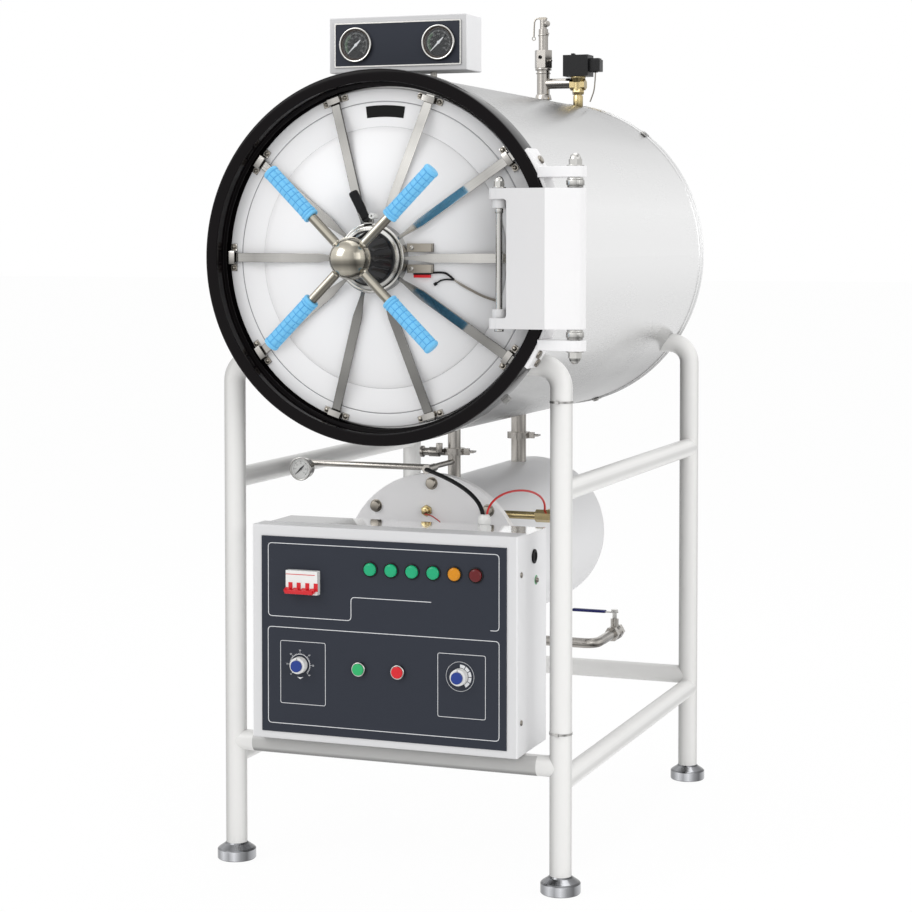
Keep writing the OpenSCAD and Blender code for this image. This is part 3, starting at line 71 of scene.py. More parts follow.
# Gauges: name, place, radius and how far the bezel stands out
GAUGES = (
    ("left", -87, -459.5, 1634, 34.6, 7),
    ("right", 87, -459.5, 1634, 34.6, 7),
    ("small", -277, -311, 777, 24.5, 5),
)

# Control box
PANEL_Y = -535
PRINT_Y = PANEL_Y - 0.02
KNOB_Z = 415
TIMER_X, TEMPERATURE_X = -177.4, 159.2
BOX_Z = 263.5
CASE_SIDE_X = 273.5

# Generator, risers, drain valve and legs
TANK_R, TANK_Z = 168, 580
FLANGE_Y = -255
RISER_Y, VENT_X = 446, 85
DRAIN = (215, 318, 388)
LEG_X, LEG_Y = 344.5, 480

# How bright the camera sees the floor, and the light of the room
FLOOR_GLOW, ROOM_LIGHT = 0.95, 0.78

# Grey levels as pairs of place and level, for painted shade and reflection
EVEN = ((0, 1), (1, 1))
# painted reflection: each locking bar lighter or darker by its turn about the vessel's axis
BAR_PAINTED_REFLECTION = (
    (0, 0.62), (0.1, 0.64), (0.15, 0.36), (0.32, 0.27), (0.37, 0.36), (0.43, 0.4), (0.5, 0.78), (0.63, 0.78),
    (0.7, 1.0), (0.76, 0.6), (0.785, 0.18), (0.815, 0.18), (0.84, 0.6), (0.93, 0.6), (1, 0.62),
)
# painted shade along each bar, by its distance from the axis
BAR_OUTWARD_SHADE = ((0, 0.45), (0.2, 0.8), (0.5, 0.95), (0.75, 0.7), (1, 0.9))
# painted shade on the stand's tubes: darker at their sideways edges
TUBE_SIDE_SHADE = (
    (0, 0.3), (0.11, 0.47), (0.27, 0.68), (0.4, 0.83), (0.52, 0.9), (0.65, 0.96), (0.8, 1), (0.9, 1),
    (0.97, 0.91), (1, 0.72),
)
# painted shadow of the control box on the rail below it, darkest on its underside
RAIL_SHADOW_UP = ((0, 0.1), (0.15, 0.3), (0.3, 0.6), (1, 0.64))
# painted shade across the door, darker over its right part
DOOR_PAINTED_SHADE = (
    (0, 0.97), (0.15, 1), (0.45, 1), (0.6, 0.95), (0.75, 0.86), (0.84, 0.78), (0.9, 0.74), (0.96, 0.86),
    (1, 0.95),
)
# painted shade: the fronts of the control box and the gauge box darker than their sides
BOX_FRONT_SHADE = ((0, 1), (0.3, 1), (0.45, 0.825), (0.55, 0.825), (0.7, 1), (1, 1))
HOUSING_FRONT_SHADE = ((0, 1), (0.3, 1), (0.45, 0.72), (0.55, 0.72), (0.7, 1), (1, 1))
# painted reflection bands on the round feet, by how they lean up and to the side
FOOT_REFLECTION_UP = ((0, 0.3), (0.42, 0.8), (0.55, 1), (0.75, 0.42), (0.9, 0.42), (1, 0.6))
FOOT_REFLECTION_SIDE = ((0, 0.2), (0.2, 0.45), (0.35, 0.9), (0.5, 0.5), (0.65, 1), (0.8, 0.4), (0.92, 0.2), (1, 0.6))
# painted reflection bands of a room on polished steel, by how far the surface leans up and to the side; the
# default of every steel finish
POLISHED_REFLECTION_UP = (
    (0, 0.3), (0.2, 0.62), (0.36, 0.22), (0.44, 0.4), (0.52, 0.85), (0.7, 1), (0.85, 0.6), (1, 0.85),
)
POLISHED_REFLECTION_SIDE = ((0, 0.35), (0.2, 0.9), (0.5, 1), (0.66, 0.8), (0.8, 0.35), (0.92, 0.85), (1, 0.5))
# painted reflection bands on the jacket sheet, lighter and darker as the surface leans up or down
SHEET_REFLECTION_UP = (
    (0, 0.3), (0.08, 0.24), (0.13, 0.27), (0.18, 0.42), (0.23, 0.68), (0.36, 0.73), (0.5, 0.83), (0.64, 0.84),
    (0.76, 0.73), (0.83, 0.63), (0.88, 0.48), (0.93, 0.36), (0.97, 0.22), (1, 0.15),
)

# Painted reflection: the case's top is darkened left of a line, as the dark room would show in it, given by x
# and y of two points
DARK_REFLECTION_EDGE = ((0, 0.16), (0.44, 0.12), (0.5, 0.95), (1, 1))
DARK_REFLECTION_LINE = (-150.8, -335.4, -71.3, -484.1)

BLACK = (0.0, 0.0, 0.0)

# Metres: half length, front and top of the rail below the control box, where the box's shadow is painted
RAIL_HALF, RAIL_FRONT, RAIL_TOP = 0.3, 0.42, 0.262


# Shader sums


class Value:
    """A socket's value that takes part in sums."""

    def __init__(self, finish, socket):
        self.finish = finish
        self.socket = socket

    def _math(self, operation, *terms):
        return self.finish.node("ShaderNodeMath", {"operation": operation}, dict(enumerate(terms)))

    def __add__(self, other):
        return self._math("ADD", self, other)

    __radd__ = __add__

    def __mul__(self, other):
        return self._math("MULTIPLY", self, other)

    __rmul__ = __mul__

    def __sub__(self, other):
        return self._math("SUBTRACT", self, other)

    def __rsub__(self, other):
        return self._math("SUBTRACT", other, self)

    def __truediv__(self, other):
        return self._math("DIVIDE", self, other)

    def power(self, exponent):
        return self._math("POWER", self, exponent)

    def above(self, edge):
        return self._math("GREATER_THAN", self, edge)

    def angle_with(self, other):
        return self._math("ARCTAN2", self, other)


class Finish:
    """The nodes of a material or of the world, made by one method."""

    def __init__(self, owner):
        owner.use_nodes = True
        self.owner = owner
        self.tree = owner.node_tree

    def found(self, kind):
        return next(n for n in self.tree.nodes if n.type == kind)

    def node(self, kind, settings=None, inputs=None, output=0):
        made = self.tree.nodes.new(kind)
        for key, value in (settings or {}).items():
            if key == "stops":
                ramp = made.color_ramp
                while len(ramp.elements) < len(value):
                    ramp.elements.new(1)
                for element, (place, colour) in zip(ramp.elements, value):
                    element.position = place
                    element.color = colour
            else:
                setattr(made, key, value)
        for key, value in (inputs or {}).items():
            self.join(value, made.inputs[key])
        return Value(self, made.outputs[output])

    def join(self, value, socket):
        if isinstance(value, Value):
            self.tree.links.new(value.socket, socket)
        elif isinstance(value, (tuple, list)) and len(value) == 3 and socket.type == "RGBA":
            socket.default_value = (*value, 1)
        else:
            socket.default_value = value

    def place(self):
        return self.node("ShaderNodeTexCoord", output="Object")

    def noise(self, scale, detail=2, stretch=(1, 1, 1), vector=None):
        spread = self.node(
            "ShaderNodeVectorMath", {"operation": "MULTIPLY"}, {0: vector or self.place(), 1: stretch}
        )
        settings = {"Vector": spread, "Scale": scale, "Detail": detail}
        return self.node("ShaderNodeTexNoise", None, settings, "Fac")

    def parts(self, vector):
        return [self.node("ShaderNodeSeparateXYZ", None, {0: vector}, i) for i in range(3)]

    def vector(self, x, y, z):
        return self.node("ShaderNodeCombineXYZ", None, {0: x, 1: y, 2: z})

    def mix(self, share, first, second):
        return self.node("ShaderNodeMix", {"data_type": "RGBA"}, {0: share, 6: first, 7: second}, 2)

    def dim(self, level, colour):
        """A colour darkened to a level from 0 to 1."""
        return self.mix(level, BLACK, colour)

    def bump(self, height, strength, distance):
        return self.node(
            "ShaderNodeBump", None, {"Height": height, "Strength": strength, "Distance": distance}
        )

    def ramp(self, share, levels):
        """Grey levels along a share, given as pairs of place and level."""
        stops = [(place, (level, level, level, 1)) for place, level in levels]
        return self.node("ShaderNodeValToRGB", {"stops": stops}, {"Fac": share}, "Color")

    def geometry(self, output):
        return self.parts(self.node("ShaderNodeNewGeometry", output=output))

    def lean(self, upward, sideways):
        """Grey level that follows how far a surface leans up and to the side."""
        x, y, z = self.geometry("Normal")
        return self.ramp(z * 0.5 + 0.5, upward) * self.ramp(x * 0.5 + 0.5, sideways)

    def seen(self, camera):
        """1 for glossy and transmission rays and a level for what the camera sees itself."""
        ray = self.node("ShaderNodeLightPath", output="Is Camera Ray") * camera
        ray = ray + self.node("ShaderNodeLightPath", output="Is Glossy Ray")
        return ray + self.node("ShaderNodeLightPath", output="Is Transmission Ray")

    def surface(self, **sockets):
        shader = self.found("BSDF_PRINCIPLED")
        for key, value in sockets.items():
            name = "Specular IOR Level" if key == "specular" else key.replace("_", " ").title()
            self.join(value, shader.inputs[name])
        return self.owner


def shade(colour, share):
    return tuple(min(1, c * share) for c in colour)


def paint(
    name, colour, rough=0.34, texture=0.05, coat=0.12, cloudy=0.03, specular=0.4,
    side=None, rail=None, across=None,
):
    """Sprayed gloss paint with a slight orange peel and faint handling marks.

    side darkens by how far the surface faces sideways, rail what lies below the
    control box, and across from one side of the door to the other.
    """
    f = Finish(bpy.data.materials.new(name))
    cloud = f.noise(3.5, 4)
    peel = f.noise(420, 1)
    tint = f.mix(cloud, shade(colour, 1 - cloudy), shade(colour, 1 + cloudy / 2))
    # painted shade by how far the surface faces sideways
    if side:
        x, y, z = f.geometry("Normal")
        level = f.ramp(x * 0.5 + 0.5, side)
        # painted shadow of the control box on the rail below it
        if rail:
            east, north, height = f.geometry("Position")
            box_shadow = (height * -1).above(-RAIL_TOP) * (north * -1).above(RAIL_FRONT)
            box_shadow = box_shadow * (east * east * -1).above(-RAIL_HALF * RAIL_HALF)
            level = level * (1 - box_shadow * (1 - f.ramp(z * 0.5 + 0.5, rail)))
        tint = f.dim(level, tint)
    # painted shade across the door from left to right
    if across:
        width = f.parts(f.place())[0]
        tint = f.dim(f.ramp(width / 0.66 + 0.5, across), tint)
    return f.surface(
        base_color=tint,
        roughness=rough - 0.05 + f.noise(9, 3) * 0.1,
        coat_weight=coat,
        coat_roughness=0.12,
        specular=specular,
        normal=f.bump(peel, texture, 0.0004),
    )


def steel(
    name, colour, rough=0.22, along="none", grain=0.25, wave=0.0,
    upward=POLISHED_REFLECTION_UP, sideways=POLISHED_REFLECTION_SIDE, line=None, mottle=0.12,
):
    """Stainless steel with a drawn grain and the darker bands of a room around it.

    What lies to the left of a line reflects the dark room.
    """
    f = Finish(bpy.data.materials.new(name))
    fine, coarse, even = 900, 14, 130
    stretch = {"y": (fine, coarse, fine), "z": (fine, fine, coarse), "none": (even, even, even)}[along]
    streak = f.noise(1, 2, stretch)
    cloud = f.noise(6, 3)
    height = streak * grain + f.noise(2.2, 2) * wave
    # painted reflection: grey level by lean, with random mottle
    level = f.lean(upward, sideways) * (1 - mottle + streak * mottle + cloud * (mottle * 0.8))
    # painted reflection of the dark room left of the line
    if line:
        x0, y0, x1, y1 = (v * MM for v in line)
        x, y, z = f.parts(f.place())
        beside = (x - x0) - (y - y0) * ((x1 - x0) / (y1 - y0))
        level = level * f.ramp(beside * 20 + 0.5, DARK_REFLECTION_EDGE)
    return f.surface(
        base_color=f.dim(level, shade(colour, 1.1)),
        metallic=1.0,
        roughness=rough - 0.06 + cloud * 0.08 + streak * 0.06,
        normal=f.bump(height, 0.12, 0.0006),
    )


def plastic(name, colour, rough=0.35, coat=0.0, grain=0.05, specular=0.3):
    """Moulded plastic or rubber."""
    f = Finish(bpy.data.materials.new(name))
    cloud = f.noise(25, 3)
    return f.surface(
        base_color=f.mix(cloud, shade(colour, 0.92), shade(colour, 1.07)),
        roughness=rough - 0.05 + cloud * 0.1,
        coat_weight=coat,
        specular=specular,
        normal=f.bump(f.noise(700, 2), grain, 0.0003),
    )


def radial_steel(name, colour):
    """Polished bar steel whose grain runs out from the vessel's axis."""
    f = Finish(bpy.data.materials.new(name))
    x, y, z = f.parts(f.place())
    rise = z - AXIS_Z * MM
    turn = rise.angle_with(x)
    out = (x * x + rise * rise).power(0.5)
    streak = f.noise(1, 2, (1, 1, 1), f.vector(turn * 260, y * 30, 0.0))
    cloud = f.noise(14, 3)
    # painted shade and reflection on the bars, by radius and by turn
    level = f.ramp((out - 0.07) * 3.8, BAR_OUTWARD_SHADE)
    level = level * f.ramp(turn / 6.2832 + 0.5, BAR_PAINTED_REFLECTION)
    return f.surface(
        base_color=f.dim(level * (0.8 + streak * 0.2 + cloud * 0.15), shade(colour, 1.12)),
        metallic=1.0,
        roughness=0.04 + streak * 0.06 + cloud * 0.03,
        normal=f.bump(streak, 0.06, 0.0004),
    )


def glass(name, colour, alpha):
    f = Finish(bpy.data.materials.new(name))
    f.owner.surface_render_method = "BLENDED"
    haze = f.noise(40, 2)
    tint = f.mix(haze, shade(colour, 0.97), colour)
    return f.surface(base_color=tint, roughness=0.05, alpha=alpha, coat_weight=0.6)


FINISHES = {}


def make_finishes():
    colours = bpy.context.scene.autoclave_colours
    box = (0.79, 0.79, 0.8)
    FINISHES.update(
        white=paint("white gloss paint", tuple(colours.paint)),
        stand=paint("stand paint", tuple(colours.stand), side=TUBE_SIDE_SHADE, rail=RAIL_SHADOW_UP),
        tank=paint("tank paint", (0.76, 0.76, 0.77), 0.36, 0.03, 0.1, 0.015),
        grey=paint("box paint", box, 0.4, 0.08, 0.05, side=BOX_FRONT_SHADE),
        housing=paint("gauge box paint", box, 0.4, 0.08, 0.05, side=HOUSING_FRONT_SHADE),
        # painted light: a lighter copy of the white paint, set against the shade under the chamber
        flange=paint("flange paint with painted light", (0.97, 0.965, 0.97), 0.36, 0.03, 0.1, 0.015),
        black=paint("black gloss paint", (0.004, 0.003, 0.0035), 0.12, 0.03, 0.0, 0.2, 0.1),
        panel=paint("panel film", tuple(colours.panel), 0.5, 0.1, 0.0, 0.04, 0.15),
        door=paint("door paint", tuple(colours.paint), across=DOOR_PAINTED_SHADE),
        # painted shade: a darker copy of the link's white paint, for the front arm that faces away from the
        # light
        link=paint("link paint with painted shade", (0.66, 0.655, 0.66), 0.36, 0.04, 0.08),
        # painted shade in the door's grooves
        seam=paint("seam paint", (0.3, 0.3, 0.31), 0.5, 0.04, 0.0),
        jacket=steel("jacket sheet", (0.95, 0.945, 0.95), 0.25, "y", 0.02, 0.15, SHEET_REFLECTION_UP, EVEN, mottle=0.03),
        lining=steel("chamber steel", (0.8, 0.79, 0.78), 0.3, "y", 0.1, 0.1, EVEN, EVEN),
        foot=steel("foot steel", (0.7, 0.71, 0.74), 0.16, "none", 0.05, 0.0, FOOT_REFLECTION_UP, FOOT_REFLECTION_SIDE),
        bright=steel("bright steel", (0.8, 0.79, 0.76), 0.2, grain=0.2),
        mirror=steel("mirror steel", (0.95, 0.94, 0.93), 0.07, "none", 0.02, 0.1, EVEN, EVEN, DARK_REFLECTION_LINE),
        satin=steel("satin steel", (0.7, 0.69, 0.67), 0.3, grain=0.3),
        rod=steel("rod steel", (0.63, 0.59, 0.5), 0.19, grain=0.1),
        bracket=steel("bracket steel", (0.5, 0.46, 0.4), 0.3, grain=0.2),
        clip=steel("clip steel", (0.58, 0.56, 0.53), 0.2, grain=0.1),
        tube=steel("pipe steel", (0.62, 0.59, 0.55), 0.24, "z", 0.2),
        bar=radial_steel("bar steel", (0.78, 0.765, 0.73)),
        brass=steel("brass", (0.84, 0.68, 0.36), 0.22, grain=0.15),
        blue=plastic("blue grip rubber", tuple(colours.grip), 0.42, 0.0, 0.12),
        rubber=plastic("black rubber", (0.008, 0.008, 0.009), 0.5, 0.0, 0.1, 0.15),
        boss=plastic("black boss plastic", (0.006, 0.006, 0.007), 0.25, 0.1, 0.02, 0.2),
        coil=plastic("coil housing", (0.012, 0.012, 0.013), 0.4, 0.0, 0.1, 0.25),
        gasket=plastic("door gasket", (0.6, 0.2, 0.12), 0.5),
        wool=plastic("mineral wool", (0.7, 0.62, 0.4), 0.9, 0.0, 0.6),
        cream=plastic("white plastic", (0.76, 0.76, 0.745), 0.35, 0.1, 0.02),
        navy=plastic("dark blue cap", (0.012, 0.04, 0.24), 0.3, 0.1, 0.02),
        lever=plastic("lever sleeve", (0.012, 0.016, 0.11), 0.4),
        red=plastic("red plastic", (0.62, 0.01, 0.018), 0.3, 0.15, 0.02),
        green=plastic("green plastic", (0.02, 0.4, 0.13), 0.3, 0.15, 0.02),
        green_lens=plastic("green lens", (0.006, 0.37, 0.165), 0.2, 0.15, 0.01),
        orange_lens=plastic("orange lens", (0.62, 0.235, 0.001), 0.2, 0.15, 0.01),
        dark_red_lens=plastic("dark red lens", (0.11, 0.003, 0.005), 0.2, 0.15, 0.01),
        print=plastic("white print", (0.72, 0.73, 0.75), 0.5, 0.0, 0.0),
        dial=plastic("dial face", (0.006, 0.006, 0.007), 0.45, 0.0, 0.0, 0.1),
        scale=plastic("scale print", (0.28, 0.29, 0.29), 0.5, 0.0, 0.0),
        arc=plastic("green scale", (0.03, 0.07, 0.03), 0.5, 0.0, 0.0),
        # painted reflection: a dark brown ring for the inner wall of the big gauges' bezels
        well=plastic("gauge well painted reflection", (0.05, 0.035, 0.025), 0.35, 0.0, 0.0, 0.3),
        ink=plastic("black ink", (0.008, 0.008, 0.008), 0.5, 0.0, 0.0, 0.1),
        glass=glass("gauge glass", (0.9, 0.93, 0.95), 0.06),
        red_wire=plastic("red wire", (0.55, 0.02, 0.02), 0.35, 0.1, 0.0),
    )


# Shapes


def at_mouth(z=0.0):
    """Frame of the door and ring: z to the front, counted from the chamber's mouth."""
    return Matrix(((1, 0, 0, 0), (0, 0, -1, MOUTH_Y - z), (0, 1, 0, AXIS_Z), (0, 0, 0, 1)))


def facing(x, y, z):
    """Frame at a point of the front: x right, y up, z to the front."""
    return Matrix(((1, 0, 0, x), (0, 0, -1, y), (0, 1, 0, z), (0, 0, 0, 1)))


def moved(x, y, z):
    return Matrix.Translation((x, y, z))


def spun(angle):
    return Matrix.Rotation(math.radians(angle), 4, "Z")


def outward(angle):
    """Turn that lays the axis of a lathed piece out along a radius."""
    return spun(angle) @ Matrix.Rotation(math.radians(90), 4, "Y")


def toward(point, direction):
    """Frame whose z runs along a direction."""
    turn = Vector(direction).normalized().to_track_quat("Z", "Y").to_matrix().to_4x4()
    return Matrix.Translation(point) @ turn


def arc(r, first, last, steps, x=0.0, y=0.0):
    """Points of an arc about (x, y), from one angle to another in degrees."""
    turns = [math.radians(first + (last - first) * k / steps) for k in range(steps + 1)]
    return [(x + r * math.cos(a), y + r * math.sin(a)) for a in turns]


def hexagon(r, turn=0):
    return arc(r, turn, turn + 300, 5)


def dome(r, rise, base, steps):
    """Outline of a dome from its edge up to its crown."""
    turns = [math.pi / 2 * k / steps for k in range(steps)]
    return [(r * math.cos(a), base + rise * math.sin(a)) for a in turns] + [(0, base + rise)]


def eased(points, radius, steps=3, closed=False):
    """A corner of each outline point with a radius is rounded off."""
    out = []
    n = len(points)
    for i, p in enumerate(points):
        r = radius if len(p) < 3 else p[2]
        b = Vector(p[:2])
        if r <= 0 or (not closed and i in (0, n - 1)):
            out.append(tuple(b))
            continue
        a = Vector(points[i - 1][:2])
        c = Vector(points[(i + 1) % n][:2])
        u, v = (a - b), (c - b)
        if u.length < 1e-6 or v.length < 1e-6:
            out.append(tuple(b))
            continue
        half = u.angle(v) / 2
        reach = min(r / max(math.tan(half), 1e-3), u.length * 0.49, v.length * 0.49)
        p0, p1 = b + u.normalized() * reach, b + v.normalized() * reach
        for k in range(steps + 1):
            t = k / steps
            out.append(tuple((1 - t) ** 2 * p0 + 2 * t * (1 - t) * b + t * t * p1))
    return out


def curve_points(a, b, c, d, n=24):
    a, b, c, d = (Vector(p) for p in (a, b, c, d))
    return [
        (1 - t) ** 3 * a + 3 * (1 - t) ** 2 * t * b + 3 * (1 - t) * t * t * c + t**3 * d
        for t in [k / n for k in range(n + 1)]
    ]


def through(points, n=6):
    """A smooth path through points."""
    pts = [Vector(p) for p in points]
    out = []
    for i in range(len(pts) - 1):
        p0, p1, p2, p3 = pts[max(i - 1, 0)], pts[i], pts[i + 1], pts[min(i + 2, len(pts) - 1)]
        slope, bend, twist = p2 - p0, 2 * p0 - 5 * p1 + 4 * p2 - p3, 3 * p1 - p0 - 3 * p2 + p3
        out += [0.5 * (2 * p1 + slope * t + bend * t * t + twist * t**3) for t in [k / n for k in range(n)]]
    out.append(pts[-1])
    return out


class Shape:
    """Points and faces of one piece, in millimetres of the part's own frame."""

    def __init__(self, place=None):
        self.points = []
        self.faces = []
        self.place = place or Matrix.Identity(4)

    def at(self, place):
        self.place = place
        return self

    def add(self, points, faces):
        base = len(self.points)
        self.points += [self.place @ Vector(p) for p in points]
        self.faces += [[base + i for i in face] for face in faces]
        return self

    def box(self, low, high):
        (a, b, c), (d, e, f) = low, high
        points = [(x, y, z) for z in (c, f) for y in (b, e) for x in (a, d)]
        return self.add(
            points, [(0, 2, 3, 1), (4, 5, 7, 6), (0, 1, 5, 4), (2, 6, 7, 3), (0, 4, 6, 2), (1, 3, 7, 5)]
        )

    def turned(self, outline, steps=48, closed=False, sweep=360.0, start=0.0, dent=None):
        """Outline of (radius, height) pairs turned about z, less what dent takes off a radius."""
        whole = sweep >= 360
        count = steps if whole else steps + 1
        points, rows = [], []
        for r, z in outline:
            if r < 1e-6:
                rows.append([len(points)] * count)
                points.append((0, 0, z))
            else:
                rows.append(list(range(len(points), len(points) + count)))
                for k in range(count):
                    a = math.radians(start + sweep * k / steps)
                    cut = r - dent(r, z, k) if dent else r
                    points.append((cut * math.cos(a), cut * math.sin(a), z))
        faces = []
        pairs = list(zip(rows, rows[1:])) + ([(rows[-1], rows[0])] if closed else [])
        for low, high in pairs:
            for k in range(steps):
                m = (k + 1) % count
                face = [low[k], low[m], high[m], high[k]]
                face = [v for i, v in enumerate(face) if v not in face[:i]]
                if len(face) > 2:
                    faces.append(face)
        if not whole:
            faces += [[row[0] for row in rows], [row[-1] for row in rows][::-1]]
        return self.add(points, faces)

    def lathed(self, outline, soft, steps=32, ease=3, dent=None):
        """A turned outline with its corners eased."""
        return self.turned(eased(outline, soft, ease), steps, dent=dent)

    def band(self, outline, soft, steps=32, ease=3):
        """A turned ring: a closed outline with its corners eased."""
        return self.turned(eased(outline, soft, ease, True), steps, True)

    def rod(self, r, low, high, steps=32):
        return self.turned([(0, low), (r, low), (r, high), (0, high)], steps)

    def screw(self, r, h, steps=20):
        """Head of a round screw."""
        return self.lathed([(0, 0), (r, 0), (r, h * 0.75), (r * 0.8, h), (0, h)], r * 0.12, steps)

    def skin(self, rings):
        """Rings of points joined one to the next, with flat ends."""
        n, last = len(rings[0]), len(rings) - 1
        faces = [list(range(n))[::-1], list(range(last * n, last * n + n))]
        for i in range(last):
            low, high = i * n, i * n + n
            faces += [[low + k, low + (k + 1) % n, high + (k + 1) % n, high + k] for k in range(n)]
        return self.add([p for ring in rings for p in ring], faces)

    def prism(self, outline, low, high):
        return self.skin([[(x, y, z) for x, y in outline] for z in (low, high)])

    def ribbon(self, left, right, height, closed=True):
        """Strip between two lines, with its sides and top."""
        n = len(left)
        points = [(x, y, z) for z in (0, height) for x, y in left + right]
        faces = []
        for i in range(n if closed else n - 1):
            j = (i + 1) % n
            faces.append([2 * n + i, 2 * n + j, 3 * n + j, 3 * n + i])
            faces.append([i, j, 2 * n + j, 2 * n + i])
            faces.append([n + j, n + i, 3 * n + i, 3 * n + j])
        return self.add(points, faces)

    def line(self, outline, width, closed=True):
        """A printed line of even width along an outline in the local x-y plane."""
        n = len(outline)
        left, right = [], []
        for i in range(n):
            p = Vector(outline[i])
            a = Vector(outline[i - 1]) if closed or i else p
            b = Vector(outline[(i + 1) % n]) if closed or i < n - 1 else p
            u = (p - a).normalized() if (p - a).length > 1e-6 else (b - p).normalized()
            v = (b - p).normalized() if (b - p).length > 1e-6 else u
            m = (u + v).normalized()
            side = Vector((-m.y, m.x)) * (width / 2) / max(0.4, m.dot(v))
            left.append(tuple(p + side))
            right.append(tuple(p - side))
        return self.ribbon(left, right, 0.25, closed)

    def swept(self, path, radius, sides=12, closed=False):
        path = [Vector(p) for p in path]
        n = len(path)
        ahead = []
        for i in range(n):
            after = path[(i + 1) % n if closed else min(i + 1, n - 1)]
            before = path[i - 1 if closed or i else 0]
            ahead.append((after - before).normalized())
        side = ahead[0].orthogonal().normalized()
        points = []
        for i in range(n):
            side = (side - ahead[i] * side.dot(ahead[i])).normalized()
            over = ahead[i].cross(side)
            for k in range(sides):
                a = 2 * math.pi * k / sides
                points.append(path[i] + side * (radius * math.cos(a)) + over * (radius * math.sin(a)))
        faces = []
        for i in range(n if closed else n - 1):
            j = (i + 1) % n
            for k in range(sides):
                m = (k + 1) % sides
                faces.append([i * sides + k, i * sides + m, j * sides + m, j * sides + k])
        if not closed:
            faces += [list(range(sides))[::-1], [(n - 1) * sides + k for k in range(sides)]]
        return self.add(points, faces)

    def ball(self, radius, steps=32, low=-1.0):
        start = math.asin(max(low, -1))
        half = steps // 2
        turns = [start + (math.pi / 2 - start) * k / half for k in range(half + 1)]
        outline = [(radius * math.cos(a), radius * math.sin(a)) for a in turns]
        outline = [(0 if abs(r) < 1e-4 * radius else r, z) for r, z in outline]
        if low > -1:
            outline.insert(0, (0, outline[0][1]))
        return self.turned(outline, steps)

    def digits(self, text, size, centre, height=0.2):
        """Raised numbers, laid flat in the local x-y plane."""
        curve = bpy.data.curves.new("numbers", "FONT")
        curve.body = text
        curve.size = size
        curve.align_x = "CENTER"
        curve.align_y = "CENTER"
        curve.resolution_u = 2
        holder = bpy.data.objects.new("numbers", curve)
        mesh = holder.to_mesh()
        x, y = centre
        flat = [(v.co.x + x, v.co.y + y, v.co.z + height) for v in mesh.vertices]
        faces = [list(p.vertices) for p in mesh.polygons]
        holder.to_mesh_clear()
        bpy.data.objects.remove(holder)
        bpy.data.curves.remove(curve)
        return self.add(flat, faces)


def piece(name, shape, finish, body="machine", replaces=(), bevel=0.0, segments=2, angle=35.0):
    """Makes a mesh object of a shape, in metres, and sets it riding on its body."""
    mesh = bpy.data.meshes.new(name)
    mesh.from_pydata([(p * MM).to_tuple() for p in shape.points], [], shape.faces)
    work = bmesh.new()
    work.from_mesh(mesh)
    bmesh.ops.remove_doubles(work, verts=work.verts, dist=1e-6)
    bmesh.ops.recalc_face_normals(work, faces=work.faces)
    work.to_mesh(mesh)
    work.free()
    mesh.validate()
    mesh.shade_smooth()
    mesh.set_sharp_from_angle(angle=math.radians(angle))
    obj = bpy.data.objects.new(name, mesh)
    bpy.context.scene.collection.objects.link(obj)
    mesh.materials.append(FINISHES[finish])
    if bevel:
        edge = obj.modifiers.new("edges", "BEVEL")
        edge.width = bevel * MM
        edge.segments = segments
        edge.limit_method = "ANGLE"
        edge.angle_limit = math.radians(40)
        edge.harden_normals = False
    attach(obj, body)
    if replaces:
        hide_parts(*replaces)


def finish_node(names, finish):
    for name in names:
        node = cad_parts[name]
        if node.material_slots:
            for holder in node.material_slots:
                holder.material = FINISHES[finish]
        else:
            node.data.materials.append(FINISHES[finish])


def nut(shape, r, h):
    """Domed nut over its washer, along local z."""
    shape.lathed([(0, 0), (r * 1.25, 0), (r * 1.25, h * 0.18), (0, h * 0.18)], 0.3, 24)
    shape.prism(hexagon(r), h * 0.18, h * 0.95)
    shape.turned([(0, h * 0.9)] + dome(r * 0.84, r * 0.9, h * 0.95, 8), 24)


# Pieces


def dish_front(r):
    return CROWN - 34 * (max(r - DISH_FLAT_R, 0) / 182) ** 2


def build_door():
    outline = [(0, CROWN)] + [(r, dish_front(r)) for r in range(DISH_FLAT_R, DISH_R + 1, 12)]
    outline += [(251.5, 20.6), (253, RIM), (299.7, RIM), (300, 17.5), (302, 17.5), (302.3, RIM), (324, RIM)]
    outline += [(326.2, 18.2), (327, 16), (327, 3.2), (318, 3), (318, 10), (306, 10), (306, 3), (DISH_R, 3)]
    outline += [(r, max(dish_front(r) - DISH_WALL, 3)) for r in range(244, DISH_FLAT_R, -12)]
    shape = Shape(at_mouth()).turned(outline + [(0, CROWN - DISH_WALL)], 160)
    lug = arc(13, 0, -180, 12, PIN_X, PIN_Y) + [(245, -532.5), (271, -532.5)]
    for low in (94, -111.5):
        shape.at(moved(0, 0, AXIS_Z + low)).prism(lug, 0, 17.5)
    piece("door_shell", shape, "door", "door", ["door_plate"], 0.8, 2, 28)
    # painted shade: thin grey rings in the door's two grooves
    seams = Shape(at_mouth())
    seams.turned([(300.1, 17.7), (301.9, 17.7), (301.9, 17.9), (300.1, 17.9)], 160, True)
    seams.turned([(250.4, 20.9), (252.5, 19.1), (252.7, 19.4), (250.6, 21.2)], 160, True)
    piece("door_seams", seams, "seam", "door")
    plate = Shape(at_mouth(RIM)).prism(arc(271, 97, 81, 16) + arc(293.5, 81, 97, 16), 0.05, 0.7)
    piece("door_bare_plate", plate, "ink", "door", (), 0.2, 1)


def build_ring():
    wall, groove, outside = 330, 344, 361
    outline = [(wall, 0, 0), (outside, 0, 1), (outside, 62, 6), (337, 62, 3), (337, 32, 1), (wall, 32, 1.5)]
    outline += [(wall, 30, 0.3), (groove, 30, 0.3), (groove, 14, 0.3), (wall, 14, 0.3), (wall, 1, 0.5)]
    piece("lock_ring", Shape(at_mouth()).band(outline, 1, 192, 4), "black", "machine", ["locking_ring"])


